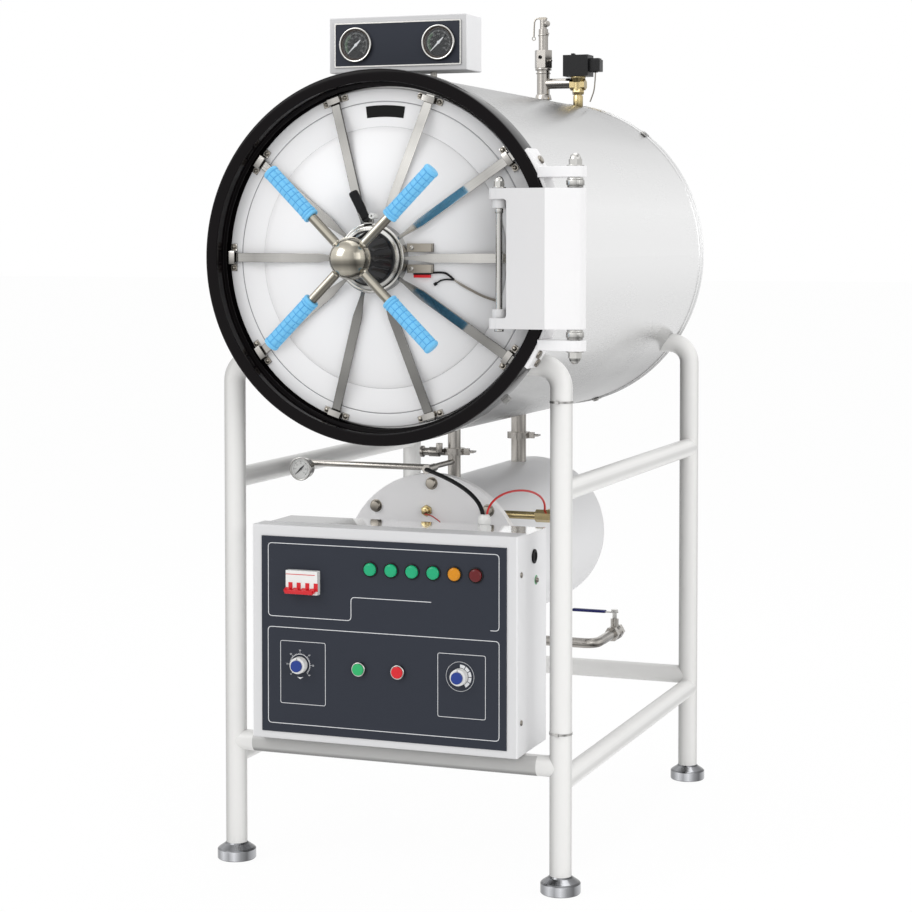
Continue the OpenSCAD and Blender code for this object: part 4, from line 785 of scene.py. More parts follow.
def build_bars():
    tilt = math.atan2(45.6, 261)

    def along(r):
        return (r - BAR_R) / math.cos(tilt)

    half = [(0, 9), (along(118), 9), (along(76), 3.4), (along(27), 3.4)]
    strip = half + [(x, -y) for x, y in half[::-1]]
    clip = [(-27, 0), (-27, 2.4), (-13.4, 2.4), (-13.4, 15.2), (13.4, 15.2), (13.4, 2.4), (27, 2.4), (27, 0)]
    clip = eased(clip + [(11, 0), (11, 12.8), (-11, 12.8), (-11, 0)], 1.1, 2, True)
    across = Matrix(((0, 0, 1, 312), (1, 0, 0, 0), (0, 1, 0, 0), (0, 0, 0, 1)))
    guides, screws = Shape(), Shape()
    for i in range(BAR_COUNT):
        turn = at_mouth() @ spun(360 / BAR_COUNT * i)
        shape = Shape(turn @ moved(BAR_R, 0, 23.4) @ Matrix.Rotation(tilt, 4, "Y")).prism(strip, -2.5, 2.5)
        shape.at(turn @ moved(32, 0, 0)).rod(2.5, 75, 86.5, 16)
        piece("bar_strip_%d" % i, shape, "bar", "locking_bar_%d" % i, ["bar_%d" % i], 0.7, 2)
        rim = turn @ moved(0, 0, RIM)
        guides.at(rim @ across).prism(clip, 0, 12)
        for side in (-20.5, 20.5):
            screws.at(rim @ moved(318, side, 2.4)).rod(6.2, 0, 0.8, 20)
            screws.turned([(0, 0.8)] + dome(4.6, 3.6, 0.8, 6), 20)
    piece("bar_clips", guides, "clip", "door", ["bar_guides"], 0.3, 1)
    piece("clip_screws", screws, "bracket", "door")


def build_hub():
    drum = Shape(at_mouth(CROWN))
    drum.band([(12.1, 0), (67, 0, 1), (67, 25, 1.2), (61, 25, 0.6), (61, 5, 0), (12.1, 5, 0)], 0.5, 96)
    drum.prism([(-15, 58), (3, 58), (3, 84), (-15, 84)], 17, 25)
    piece("hub_drum", drum, "bright", "door", ["hub_housing"], 0.4, 1)
    stop = Shape(at_mouth() @ moved(7.7, 79.8, 0))
    stop.band([(2.3, 79), (2.3, 97, 0.4), (5.4, 97, 0.8), (5.4, 74), (2.3, 74)], 0.3, 28, 2)
    piece("lever_stop", stop, "cream", "door")
    plate = Shape(at_mouth()).band([(12, 80.5), (60, 80.5, 1), (60, 87.6, 1.2), (12, 87.6)], 0.5, 96)
    piece("scroll_disc", plate, "bright", "hand_wheel", ["scroll_plate"])
    boss = Shape(at_mouth())
    boss.band([(12.2, 88), (53, 88, 1), (53, 92, 1.2), (50.5, 93.5, 1), (12.2, 93.5)], 0.5, 96)
    flutes, rows, low, high = 12, 14, 93.5, 160
    rings = []
    for t in (row / rows for row in range(rows + 1)):
        fade = math.sin(math.pi * min(1, t * 1.15 + 0.05)) ** 0.6 if t < 0.95 else 0.0
        ring = []
        for k in range(flutes * 8):
            a = 2 * math.pi * k / (flutes * 8)
            r = 50 + (32 - 50) * t - 4.4 * fade * max(0.0, math.cos(flutes * a)) ** 0.6
            ring.append((r * math.cos(a), r * math.sin(a), low + (high - low) * t))
        rings.append(ring)
    piece("fluted_boss", boss.skin(rings), "boss", "hand_wheel", ["wheel_boss"])


def build_wheel():
    hub = Shape(at_mouth())
    hub.lathed([(0, 160), (33, 160, 0.8), (33, 166, 1.5), (0, 166)], 0.5, 64)
    hub.rod(11.95, 56, 88)
    hub.at(at_mouth(BALL)).ball(39.5, 64, -0.5)
    hub.band([(39.1, -1), (40.2, -0.8, 0.3), (40.2, 0.8, 0.3), (39.1, 1)], 0.3, 96, 2)
    ribs, first, last = 8, 123.0, 224.0
    step = (last - first) / ribs
    outline = [(9.2, 110), (14.5, 110, 1), (15.5, 112, 1), (15.5, 115, 1), (13.8, 116.2, 0.4)]
    outline += [(13.8, 117.2, 0.4), (15.5, 118.4, 0.8), (15.5, 121.2, 0.8), (13.4, 122.4, 0.3)]
    for low in (first + k * step for k in range(ribs)):
        high = low + step
        outline += [(12.9, low + 0.1, 0), (14.6, low + 1.1, 0.3)]
        outline += [(14.6, high - 1.1, 0.3), (12.9, high - 0.1, 0)]
    outline += [(13.4, 224.4, 0.3), (15.3, 225.6, 1), (15.3, 230.6, 2.2), (13, 232.9, 2), (0, 233)]

    def notch(r, z, k):
        return 1.5 if first < z < last and r > 14 and k % 12 == 0 else 0.0

    grips = Shape()
    for angle in (45, 135, 225, 315):
        out = at_mouth(BALL) @ outward(angle)
        hub.at(out).turned([(0, 30), (9, 30), (9, 226), (8, 227), (0, 227)], 32)
        hub.lathed([(9, 34, 0), (12, 36, 1.5), (9, 41, 0)], 1)
        grips.at(out).lathed(outline, 0.3, 96, 2, dent=notch)
    piece("wheel_core", hub, "rod", "hand_wheel", ["wheel_hub"])
    piece("blue_grips", grips, "blue", "hand_wheel", ["wheel_grips"], 0, 2, 30)


def build_interlock():
    place = at_mouth() @ moved(-6, 75, 0)
    core = Shape(place)
    core.lathed([(0, 72), (3, 72), (3, 80.4), (7.5, 80.4, 0.5), (7.5, 94.5, 1.5), (0, 94.5)], 0.4)
    out = place @ moved(0, 0, 89.6) @ outward(118)
    core.at(out).rod(5, 0, 5, 24)
    piece("interlock_pivot", core, "boss", "interlock_lever_body", ["interlock_lever"])
    sleeve = [(0, 0), (8, 0, 0.8), (8.2, 14, 1), (9.2, 20, 1), (9.2, 54, 1.5), (8.2, 58, 1.5), (0, 58)]
    piece("interlock_sleeve", Shape(out).lathed(sleeve, 0.6), "rubber", "interlock_lever_body")


def build_door_switch():
    brackets, screws = Shape(at_mouth()), Shape()
    for low, high, middle in ((12, 28, 20), (-28, -12, -20)):
        brackets.box((66, low, 50), (118, high, 54.8))
        brackets.box((66, low, 59), (116, high, 61.5))
        brackets.box((66, low, 50), (69, high, 61.5))
        brackets.box((114, low, 50), (118, high, 60))
        screws.at(at_mouth() @ moved(76, middle, 61.5)).screw(4.4, 3)
    piece("switch_brackets", brackets, "bracket", "door", ["door_switch"], 0.5, 2)
    piece("switch_screws", screws, "bright", "door")
    body = Shape(at_mouth()).box((79, -37, CROWN - 1), (113, -31, 61))
    piece("switch_body", body, "red", "door", (), 1.2, 2)
    lid = Shape(at_mouth()).box((79, -31, CROWN - 1), (113, -28.5, 62.5))
    piece("switch_lid", lid, "boss", "door", (), 0.4, 1)
    start = [(113, -568.8, 1189.1), (130.6, -566.9, 1190.1), (142.1, -565.2, 1188.3), (151.5, -563.5, 1181.7)]
    joint = (157.1, -562.2, 1176.0)
    back = [(143.8, -564.5, 1176.9), (132.3, -566.1, 1175.0), (121.5, -567.2, 1168.3)]
    away = [(172, -558.8, 1167.5), (190.3, -553.8, 1157.2), (210.1, -547.4, 1146.8), (233.3, -539.2, 1138.3)]
    lead = Shape().swept(through([*start, joint]), 2, 10).swept(through([joint, *back]), 1.6, 10)
    lead.swept([(124, -566.9, 1169.8), (119, -567.4, 1166.8)], 3, 12)
    piece("switch_lead", lead, "rubber", "door")
    cable = Shape()
    for drop in (0, 2.6):
        cable.swept(through([joint, *((x, y, z - drop) for x, y, z in away)]), 1.2, 10)
    piece("switch_cable", cable, "bracket", "door")


def build_hinge():
    foot = AXIS_Z - LINK_HALF
    outline = [(352, -610)] + arc(20, -75, 135, 21, POST_X, POST_Y) + [(352, -599)]
    link = Shape(moved(0, 0, foot)).prism(outline, 0, 261)
    piece("link_slant", link, "white", "link", ["link_plate"], 1.6, 3, 30)
    outline = [(257, 0, 1), (353, 0, 0), (353, 261, 0), (257, 261, 1)]
    outline += [(257, 241, 0), (278, 241, 7), (278, 20, 7), (257, 20, 0)]
    arm = Shape(facing(0, -599, foot)).prism(eased(outline, 1, 5, True), 0, 11)
    nose = [(243, -606), (247, -609.4), (264, -609.4), (280, -599), (276, -590), (266, -577)]
    arm.at(moved(0, 0, foot))
    for low in (0, 241):
        arm.prism(nose + arc(15, 90, 180, 6, PIN_X, PIN_Y), low, low + 20)
    # the arm wears the darker copy of the link's white paint: painted shade
    piece("link_arm", arm, "link", "link", (), 1.2, 3, 30)
    pin = Shape(moved(PIN_X, PIN_Y, AXIS_Z))
    pin.lathed([(0, -136), (9, -136, 1), (9, -131, 1), (6.4, -131, 0), (6.4, 131, 0), (0, 131)], 0.5)
    pin.lathed([(6.4, 84), (8, 84.5, 0.5), (8, 93, 0.5), (6.4, 93.4)], 0.3)
    nut(pin.at(moved(PIN_X, PIN_Y, AXIS_Z + LINK_HALF)), 10.5, 14)
    piece("link_pin", pin, "bright", "link", ["door_pin"])
    centre = moved(POST_X, POST_Y, AXIS_Z)
    post = Shape(centre).rod(7.95, -171, 171)
    collar = [(8, 131.2), (15, 131.2, 0.8), (15, 134.6, 0.8), (17, 135.6, 0.8), (17, 145, 0.8)]
    collar += [(15, 146, 0.8), (15, 149.4, 0.5), (8, 149.4)]
    for angle in (0, 180):
        turn = centre @ Matrix.Rotation(math.radians(angle), 4, "X")
        post.at(turn).lathed(collar, 0.5, 40)
        nut(post.at(turn @ moved(0, 0, 170.2)), 13, 14)
    piece("fixed_post", post, "bright", "machine", ["hinge_post"])
    bracket = Shape(at_mouth())
    bracket.turned([(361.1, 0.5), (369, 0.5), (369, 57), (361.1, 57)], 24, True, 68, -34)
    side = math.sqrt(369**2 - 160.5**2) - 6
    ear = [(380, -545), (368, -516), (side, -514), (side, -573), (372, -592)]
    for low in (150.5, -170.5):
        bracket.at(moved(0, 0, AXIS_Z + low)).prism(arc(21, -110, 110, 22, POST_X, POST_Y) + ear, 0, 20)
    piece("ring_bracket", bracket, "white", "machine", ["hinge_bracket"], 1.2, 2, 30)
    for angle, front in ((-32, 22), (-29, 40), (30, 22)):
        spot = at_mouth(front) @ spun(angle) @ moved(368.6, 0, 0) @ outward(0)
        piece("bracket_screw_%d" % (angle + 60), Shape(spot).screw(8.5, 5, 24), "bracket")


def gauge_marks(spot, r, marks, numbers):
    """Marks and plain numbers of a gauge of radius r."""
    shape = Shape()
    edge, inner = r * 0.78, r * 0.62
    for k in range(marks + 1):
        big = k % (marks // numbers) == 0
        low = inner - (edge * 0.05 if big else 0)
        wide = edge * (0.022 if big else 0.011)
        shape.at(spot @ spun(225 - 270 * k / marks))
        shape.prism([(low, -wide), (edge * 0.9, -wide), (edge * 0.9, wide), (low, wide)], 0.15, 0.3)
    shape.at(spot)
    for k, centre in enumerate(arc(inner * 0.74, 225, -45, numbers)):
        shape.digits("%g" % (k / 10), r * 0.13, centre, 0.3)
    return shape


def build_gauges():
    box = Shape().box((-145, -458, 1580), (145, -376, 1688))
    piece("gauge_housing", box, "housing", "machine", ["gauge_box"], 2.0, 3)
    outer = eased([(-133, -43.5), (133, -43.5), (133, 43.5), (-133, 43.5)], 2, 2, True)
    inner = eased([(-130.5, -41), (130.5, -41), (130.5, 41), (-130.5, 41)], 1.5, 2, True)
    piece("gauge_frame", Shape(facing(0, -458.6, 1634)).ribbon(outer, inner, 2.2), "bright")
    plate = Shape(facing(0, -458.3, 1634)).box((-131, -41.5, 0), (131, 41.5, 1.3))
    piece("gauge_panel", plate, "panel")
    for name, x, y, z, r, out in GAUGES:
        spot, above = facing(x, y, z), facing(x, y - 1, z)
        small = name == "small"
        bezel = [(r * 0.87, 0), (r * 0.99, 0, 0.5), (r, out * 0.6, 1), (r * 0.97, out, 1.4)]
        bezel = Shape(spot).band(bezel + [(r * 0.89, out * 0.95, 1), (r * 0.87, out * 0.7, 0)], 0.8, 72)
        if small:
            bezel.turned([(0, -24), (r * 0.8, -24), (r * 0.86, -22), (r * 0.86, 0), (0, 0)], 48)
        else:
            bezel.rod(r * 0.86, -26, 0.4, 48)
        piece("gauge_bezel_%s" % name, bezel, "bright", "machine", ["gauges"] if name == "left" else ())
        # the big gauges' ring inside the bezel is dark brown: painted reflection of the bezel's depth
        well = [(r * 0.875, out * 0.8), (r * 0.86, out * 0.8), (r * 0.78, 1), (r * 0.875, 0.9)]
        piece("gauge_well_%s" % name, Shape(spot).turned(well, 72, True), "cream" if small else "well")
        piece("gauge_dial_%s" % name, Shape(spot).rod(r * 0.8, 0.6, 1, 48), "cream" if small else "dial")
        if not small:
            band = arc(r * 0.7, 225, 126, 11) + arc(r * 0.54, 126, 225, 11)
            piece("gauge_band_%s" % name, Shape(above).prism(band, 0.05, 0.1), "arc")
        marks = gauge_marks(above, r, 30, 6) if small else gauge_marks(above, r, 40, 8)
        piece("gauge_marks_%s" % name, marks, "ink" if small else "scale")
        side = [(-r * 0.4, 0.7), (-r * 0.16, 1.7), (0, 1.7), (r * 0.7, 0.35)]
        needle = Shape(facing(x, y - 1.8, z) @ spun(225))
        needle.prism([(u, -v) for u, v in side] + side[::-1], 0, 0.6)
        needle.lathed([(0, -0.2), (r * 0.09, -0.2), (r * 0.09, 1.2, 0.4), (0, 1.2)], 0.3, 24)
        colour = "ink" if small else "print"
        piece("gauge_needle_%s" % name, needle, colour, "needle_%s_body" % name, ["needle_%s" % name])
        cover = Shape(spot).turned([(0, out * 0.62), (r * 0.87, out * 0.62)], 48)
        piece("gauge_glass_%s" % name, cover, "glass")


def build_print():
    lines = Shape(facing(0, PRINT_Y, 0))
    for left, low, right, high, soft, steps, width in (
        (-246.5, 296, 238.7, 487.5, 8, 5, 1.3),
        (-219.5, 337, -123, 461, 4, 4, 1.0),
        (113.5, 335, 211, 458, 4, 4, 1.0),
    ):
        corners = [(left, low), (right, low), (right, high), (left, high)]
        lines.line(eased(corners, soft, steps, True), width)
    upper = [(100, 555), (-68, 555), (-68, 509), (-245.7, 509), (-245.7, 654), (238.5, 654), (238.5, 507.5)]
    lines.line(eased(upper + [(221, 507.5)], 8, 4), 1.3, False)
    timer = facing(TIMER_X, PRINT_Y, KNOB_Z)
    lines.at(timer).line(arc(20.8, 225, -45, 45), 0.8, False)
    for k in range(31):
        far = 24.5 if k % 5 == 0 else 22.8
        lines.at(timer @ spun(225 - 9 * k))
        lines.prism([(20.8, -0.4), (far, -0.4), (far, 0.4), (20.8, 0.4)], 0, 0.2)
    lines.at(timer)
    for k, centre in enumerate(arc(28, 225, -45, 6)):
        lines.digits("%d" % (10 * k), 4.5, centre, 0.1)
    lines.prism(arc(25, 256, 288, 8) + [(0, -28.5)], 0, 0.2)
    lines.at(facing(TEMPERATURE_X, PRINT_Y, KNOB_Z)).line(arc(28.5, 0, 354, 59), 0.6)
    for first, last in ((90, 62), (58, 32), (28, 2), (-2, -28), (-32, -60)):
        lines.prism(arc(17.2, first, last, 6) + arc(23.4, last, first, 6), 0, 0.2)
    piece("panel_print", lines, "print")


def build_lamps():
    rim = [(0, 0), (15.5, 0, 0.3), (15.5, 2, 0.8), (13.6, 2.6, 0.4), (13, 1.6), (0, 1.6)]
    lens = [(0, 1), (12.8, 1, 0), (12.4, 5, 1.4), (9.4, 7, 1.5), (0, 7.4)]
    colours = ["green_lens"] * 4 + ["orange_lens", "dark_red_lens"]
    for i, colour in enumerate(colours):
        spot = facing(-26.8 + 43.7 * i, PANEL_Y, 612)
        fittings, lamps = (["panel_fittings"], ["lamps"]) if i == 0 else ((), ())
        piece("lamp_rim_%d" % i, Shape(spot).lathed(rim, 0.3, 40), "boss", "machine", fittings)
        piece("lamp_lens_%d" % i, Shape(spot).lathed(lens, 1, 40), colour, "machine", lamps)


def build_buttons():
    rim = [(12, 0), (14.5, 0, 0.3), (14.5, 6, 1.2), (13.2, 7.4, 0.8), (12, 7.2, 0)]
    cap = [(0, -9), (11, -9), (11, 1, 0), (11.8, 1, 0), (11.8, 8.8, 1.2)]
    cap += [(10, 9.9, 0.8), (8, 9.5, 1), (0, 9.3)]
    for name, x, colour in (("start", -50.8, "green"), ("stop", 31.3, "red")):
        spot = facing(x, PANEL_Y, KNOB_Z)
        piece("%s_bezel" % name, Shape(spot).band(rim, 0.3, 48).rod(14, -0.3, 0.1, 48), "bright")
        top = Shape(spot).lathed(cap, 0.4, 48)
        piece("%s_cap" % name, top, colour, "%s_button_body" % name, ["%s_button" % name])


def build_knobs():
    skirt = [(0, 0), (16.5, 0, 0.4), (16.5, 3, 0.8), (16, 14.6, 1.6), (11.8, 15.4, 0.5), (0, 15.4)]
    cap = [(0, 15), (11.6, 15), (11.4, 20.4, 0.6), (10.4, 21.2, 0.6), (0, 20.8)]
    for name, x in (("timer", TIMER_X), ("temperature", TEMPERATURE_X)):
        spot, body = facing(x, PANEL_Y - 0.6, KNOB_Z), "%s_knob_body" % name
        base = Shape(spot).lathed(skirt, 0.5, 48).rod(3, -11, 0, 16)
        piece("%s_skirt" % name, base, "cream", body, ["%s_knob" % name])
        piece("%s_cap" % name, Shape(spot).lathed(cap, 0.5, 48), "navy", body)
        piece("%s_mark" % name, Shape(spot).box((-0.5, 12.2, 15), (0.5, 15, 15.6)), "ink", body)


def build_breaker():
    spot = facing(-170, PANEL_Y, 580)
    body = Shape(spot).box((-32, -23.5, -40), (36, 23.5, 13.6))
    piece("breaker_body", body, "cream", "machine", ["breaker"], 0.8, 2)
    slots = Shape(spot)
    for x in (-21.3, -3.6, 14.9, 32.9):
        slots.box((x - 4.4, -16, 13.4), (x + 4.4, 0, 13.9))
    piece("breaker_slots", slots, "red")
    piece("breaker_line", Shape(spot).box((-31, 15.2, 13.5), (31, 16.6, 13.8)), "red")
    toggles = Shape(spot @ moved(0, -10, 6) @ Matrix.Rotation(math.radians(25), 4, "X"))
    for x in (-27, -9, 9, 27):
        toggles.box((x - 5.8, -3, -3), (x + 5.8, 3, 16.5))
    toggles.box((-30, -4, 15.8), (30, 4, 20))
    toggles.at(toggles.place @ outward(0)).rod(2.4, -33, 33, 16)
    piece("breaker_toggles", toggles, "red", "breaker_toggle_body", ["breaker_toggle"], 0.8, 2)


def build_control_box():
    case = Shape().box((-280.5, -478, BOX_Z + 0.2), (CASE_SIDE_X, -354, BOX_Z + 421.6))
    piece("rear_case", case, "grey", "machine", ["control_case"], 1.5, 3)
    top = Shape().box((-279.5, -476.8, BOX_Z + 421), (272.5, -355, BOX_Z + 422))
    piece("case_top", top, "mirror", "machine", (), 0.4, 2)
    cover = Shape().box((-282, -533, BOX_Z), (275, -477, BOX_Z + 426))
    piece("front_cover", cover, "grey", "machine", ["control_cover"], 3.0, 4)
    panel = Shape(facing(-3.5, -533, 473)).box((-257, -194.5, 0), (257, 194.5, 2))
    piece("front_panel", panel, "panel", "machine", ["control_panel"], 0.3, 1)
    for build in (build_print, build_lamps, build_buttons, build_knobs, build_breaker):
        build()
    gland = Shape(moved(183.3, -464, 685.5))
    gland.lathed([(0, -7), (9, -7), (9, 0), (12.5, 0, 0.5), (12.5, 5, 0.5), (10, 5.5)], 0.3)
    gland.prism(hexagon(13.5, 10), 5, 13)
    cap = [(0, 13), (10, 13, 0), (10, 15, 0), (12.6, 17.5, 2), (12.6, 26, 3)]
    cap += [(9.5, 34, 2), (6, 36), (6, 30), (0, 30)]
    piece("box_gland", gland.lathed(cap, 1), "cream", "machine", (), 0.5, 2)
    grommet = Shape(toward((CASE_SIDE_X, -431.5, 639), (1, 0, 0)))
    grommet.lathed([(0, -3), (11, -3), (11, 0), (14, 0, 0.6), (14, 2.5, 1), (9, 4, 0.8), (8, 1), (0, 1)], 0.5)
    piece("box_grommet", grommet, "rubber")
    spot = toward((CASE_SIDE_X, -418, 591), (1, 0, 0))
    earth = Shape(spot).lathed([(0, 0), (7, 0), (7, 1.2, 0.3), (4.5, 1.4), (4.5, 4.5, 0.8), (0, 5)], 0.4, 24)
    piece("earth_screw", earth, "bracket")
    piece("earth_spot", Shape(spot).turned([(7, 0), (9.4, 0), (9.4, 0.4), (7, 0.4)], 32, True), "green")
    screws = Shape()
    for side in (1, -1):
        for z in (329.5, 613.5):
            screws.at(toward((side * 278.5 - 3.5, -512, z), (side, 0, 0))).screw(5.5, 2.4)
    piece("cover_screws", screws, "bracket")


def build_generator():
    shell = [(0, 0), (TANK_R, 0), (TANK_R, 642)] + dome(TANK_R, 38, 644, 16)
    tank = Shape(toward((0, FLANGE_Y, TANK_Z), (0, 1, 0))).turned(shell, 128)
    piece("tank_shell", tank, "tank", "machine", ["generator_tank"])
    flange = Shape(facing(0, FLANGE_Y, TANK_Z))
    flange.lathed([(0, 0), (194, 0, 0.8), (194, 20, 1.5), (0, 20)], 1, 128)
    piece("flange_disc", flange, "flange", "machine", ["generator_flange"])
    front = facing(0, FLANGE_Y - 20, TANK_Z)
    bolts = Shape()
    for k in range(8):
        bolts.at(front @ spun(90 + 45 * k) @ moved(174, 0, 0))
        bolts.lathed([(0, 0), (13, 0), (13, 1.4, 0.3), (0, 1.4)], 0.3)
        bolts.lathed([(0, 1.4), (10.6, 1.4), (11, 7, 1.2), (9, 9.3, 1.2), (0, 9.6)], 0.8)
    piece("flange_bolts", bolts, "bracket", "machine", ["bolts"])
    brass = Shape()
    for angle in (95, 215, 335):
        brass.at(front @ spun(angle) @ moved(118, 0, 0)).prism(hexagon(12), 0, 6)
        brass.lathed([(0, 6), (7.5, 6), (7.5, 12, 1), (4, 12.5), (4, 18, 0.6), (0, 18)], 0.4, 24)
    piece("heater_ends", brass, "brass", "machine", ["heaters"], 0.5, 1)
    loop = [(-9, -291, 692), (6, -295, 690), (16, -293, 684)]
    loop += [(24, -290, 676), (16, -290, 668), (10, -288, 662)]
    piece("heater_wire", Shape().swept(through(loop), 1.2, 8), "red_wire")


def build_risers():
    riser = moved(0, RISER_Y, 0)
    lever = Shape(riser).box((-10, -3, 1764.3), (6, 3, 1769.8))
    lever.swept([(6, -4, 1767), (6, 4, 1767)], 2.5, 16)
    bend = through([(-8, 0, 1767), (-16, 0, 1767), (-21, 0, 1762), (-22.5, 0, 1752), (-23.5, 0, 1724)])
    lever.swept(bend, 1.7, 10)
    lever.swept([(x, 0, z) for x, z in arc(4, 0, 342, 19, -23.5, 1721)], 0.9, 8, True)
    piece("relief_handle", lever, "bracket", "relief_lever_body", ["relief_lever"])
    trim = Shape(riser).lathed([(0, 1646), (19, 1646, 1), (19, 1651.5, 1), (0, 1651.5)], 0.4, 40)
    trim.band([(14.6, 1638), (17, 1638, 0.5), (17, 1641, 0.5), (14.6, 1641)], 0.3, 40, 2)
    trim.band([(10.5, 1726), (12.4, 1726, 0.4), (12.4, 1729, 0.4), (10.5, 1729)], 0.3, 40, 2)
    trim.band([(14.5, 1578), (20, 1578, 1), (17, 1590, 2), (14.5, 1591)], 0.4, 40, 2)
    cap = [(0, -4), (6.5, -4, 1), (7.5, 0, 1), (6.5, 5, 1), (0, 5)]
    trim.at(toward((10, 440, 1754), (0.8, -0.6, 0))).lathed(cap, 0.6, 16)
    for r, spot in ((2.4, (11, 440, 1731)), (3, (19, 438, 1668))):
        trim.at(toward(spot, (0.9, -0.4, 0))).lathed([(0, -2), (r, -2), (r, 5, 0.6), (0, 5)], 0.3, 16)
    piece("relief_trim", trim, "tube")
    # painted shade: a flat black disc for the dark inside of the valve's port
    piece("relief_port", Shape(toward((-2, 427.6, 1676), (-0.1, -1, 0))).rod(4.4, 0, 1.2, 24), "ink")
    vent = moved(VENT_X, RISER_Y, 0)
    neck = Shape(vent)
    neck.band([(9, 1612), (13.5, 1617, 2), (17.5, 1627, 1), (17.5, 1629.6, 0.4), (9, 1629.6)], 0.6)
    neck.band([(9, 1588), (13.5, 1588, 1), (14.5, 1594, 2), (13.5, 1601, 1), (9, 1601)], 0.6, 6)
    piece("vent_neck", neck, "brass", "machine", (), 0.6, 2)
    foot = Shape(vent).band([(9.1, 1560), (11.5, 1560), (11.5, 1586, 0.6), (9.1, 1586)], 0.4, 32, 2)
    piece("vent_foot", foot, "brass")
    clip = Shape(vent).box((-16, -6, 1678), (-8, 6, 1684)).box((30, -14, 1640), (56, 14, 1668))
    piece("coil_trim", clip, "coil", "machine", (), 1.2, 2)
    tail = through([(127, 446, 1638), (126, 446, 1620), (123, 446, 1596), (114, 446, 1571)])
    piece("coil_lead", Shape().swept(tail, 1.5, 10), "bracket")


def build_leads():
    """The black and the red lead, on the routes of the packed model."""
    black = curve_points((180, -464, 714.8), (179, -463, 752), (104, -388, 772), (6, -322, 787), 40)
    piece("sensor_lead", Shape().swept(black, 4.2, 14), "rubber", "machine", ["leads"])
    red = curve_points((188, -464, 714.8), (188, -462, 780), (262, -300, 770), (230, -235, 703), 40)
    piece("valve_lead", Shape().swept(red, 2.2, 10), "red_wire")


def build_drain():
    stem = Shape(moved(*DRAIN)).lathed([(0, 0), (5, 0), (5, 20, 0.5), (0, 20)], 0.4, 24)
    stem.prism(hexagon(8), 20, 25)
    stem.prism(eased([(-24, -5), (8, -5), (8, 5), (-24, 5)], 2, 2, True), 17.5, 20)
    piece("drain_stem", stem, "bright", "drain_lever_body", ["drain_lever"])
    sleeve = eased([(-100, -7), (-20, -6), (-20, 6), (-100, 7)], 4, 3, True)
    handle = Shape(moved(*DRAIN)).prism(sleeve, 16, 22)
    piece("drain_handle", handle, "lever", "drain_lever_body", (), 1.6, 3)


def build_pipes():
    finish_node(["steam_pipes", "steel_valves", "contactors"], "tube")
    finish_node(["brass_valves"], "brass")
    finish_node(["vent_coil"], "coil")
    build_risers()
    build_leads()
    line = Shape().swept([(3, -150, 872), (3, 60, 874), (3, 262, 882)], 4.2, 12)
    piece("balance_line", line, "bracket")
    joint = Shape(toward((3, 44, 873.8), (0, 1, 0))).prism(hexagon(8), -14, 14)
    piece("line_joint", joint, "brass", "machine", (), 0.6, 2)
    body = [(0, 0), (12, 0, 1), (12, 6, 1), (8, 7, 0.4), (8, 18, 0.4)]
    body += [(10, 19, 0.6), (10, 42, 0.6), (7, 43, 0.4), (7, 60, 0)]
    trap = Shape(toward((-72, -150, 806), (1, 0, 0))).lathed(body, 0.5)
    trap.at(toward((-26, -164, 812), (0, 0, 1))).lathed([(0, -6), (7, -6, 1), (7, 14, 1), (0, 14)], 0.6, 24)
    piece("steam_trap", trap, "tube")
    build_drain()


def build_stand():
    finish_node(["frame"], "stand")
    foot = [(0, 0), (37.5, 0, 1), (39, 2, 1), (39, 20, 2), (36, 23, 3), (24, 31, 4), (21.8, 34, 0), (0, 34)]
    feet = Shape()
    for x in (-LEG_X, LEG_X):
        for y in (-LEG_Y, LEG_Y):
            feet.at(moved(x, y, 0)).lathed(foot, 1, 48, 4)
    piece("round_feet", feet, "foot", "machine", ["feet"])
    ties = Shape()
    for z in (309, 944):
        ties.at(moved(LEG_X, -LEG_Y, z)).turned([(21.5, -2), (22.6, -2), (22.6, 2), (21.5, 2)], 40, True)
        ties.box((-4, -28, -2.5), (3, -21, 2.5))
    piece("cable_ties", ties, "satin")


def build_vessel():
    for names, finish in (
        (["jacket", "rear_cover"], "jacket"),
        (["chamber"], "lining"),
        (["loading_tray"], "satin"),
        (["insulation"], "wool"),
        (["door_gasket"], "gasket"),
    ):
        finish_node(names, finish)
    rear = at_mouth(-JACKET_L)
    bead = Shape(rear)
    bead.band([(JACKET_R, 16, 0), (357.6, 16.5, 0.6), (357.6, 22, 0.6), (355.2, 22.4, 0)], 0.6, 160)
    bead.band([(355.5, -1.6, 0), (358.6, -1.2, 1), (358.6, 3.4, 1), (JACKET_R, 3.6, 0)], 0.6, 160)
    piece("cover_beads", bead, "jacket")
    clips = Shape()
    for angle in (-38, -73, -128, 52):
        clips.at(rear @ spun(angle)).box((JACKET_R, -7, 2), (359.6, 7, 36)).box((359, -5, 20), (362.5, 5, 33))
    clips.at(at_mouth(-16) @ spun(-48)).box((354.8, -7, 0), (368.5, 7, 14))
    piece("cover_clips", clips, "satin", "machine", (), 1.0, 2)


# Stage


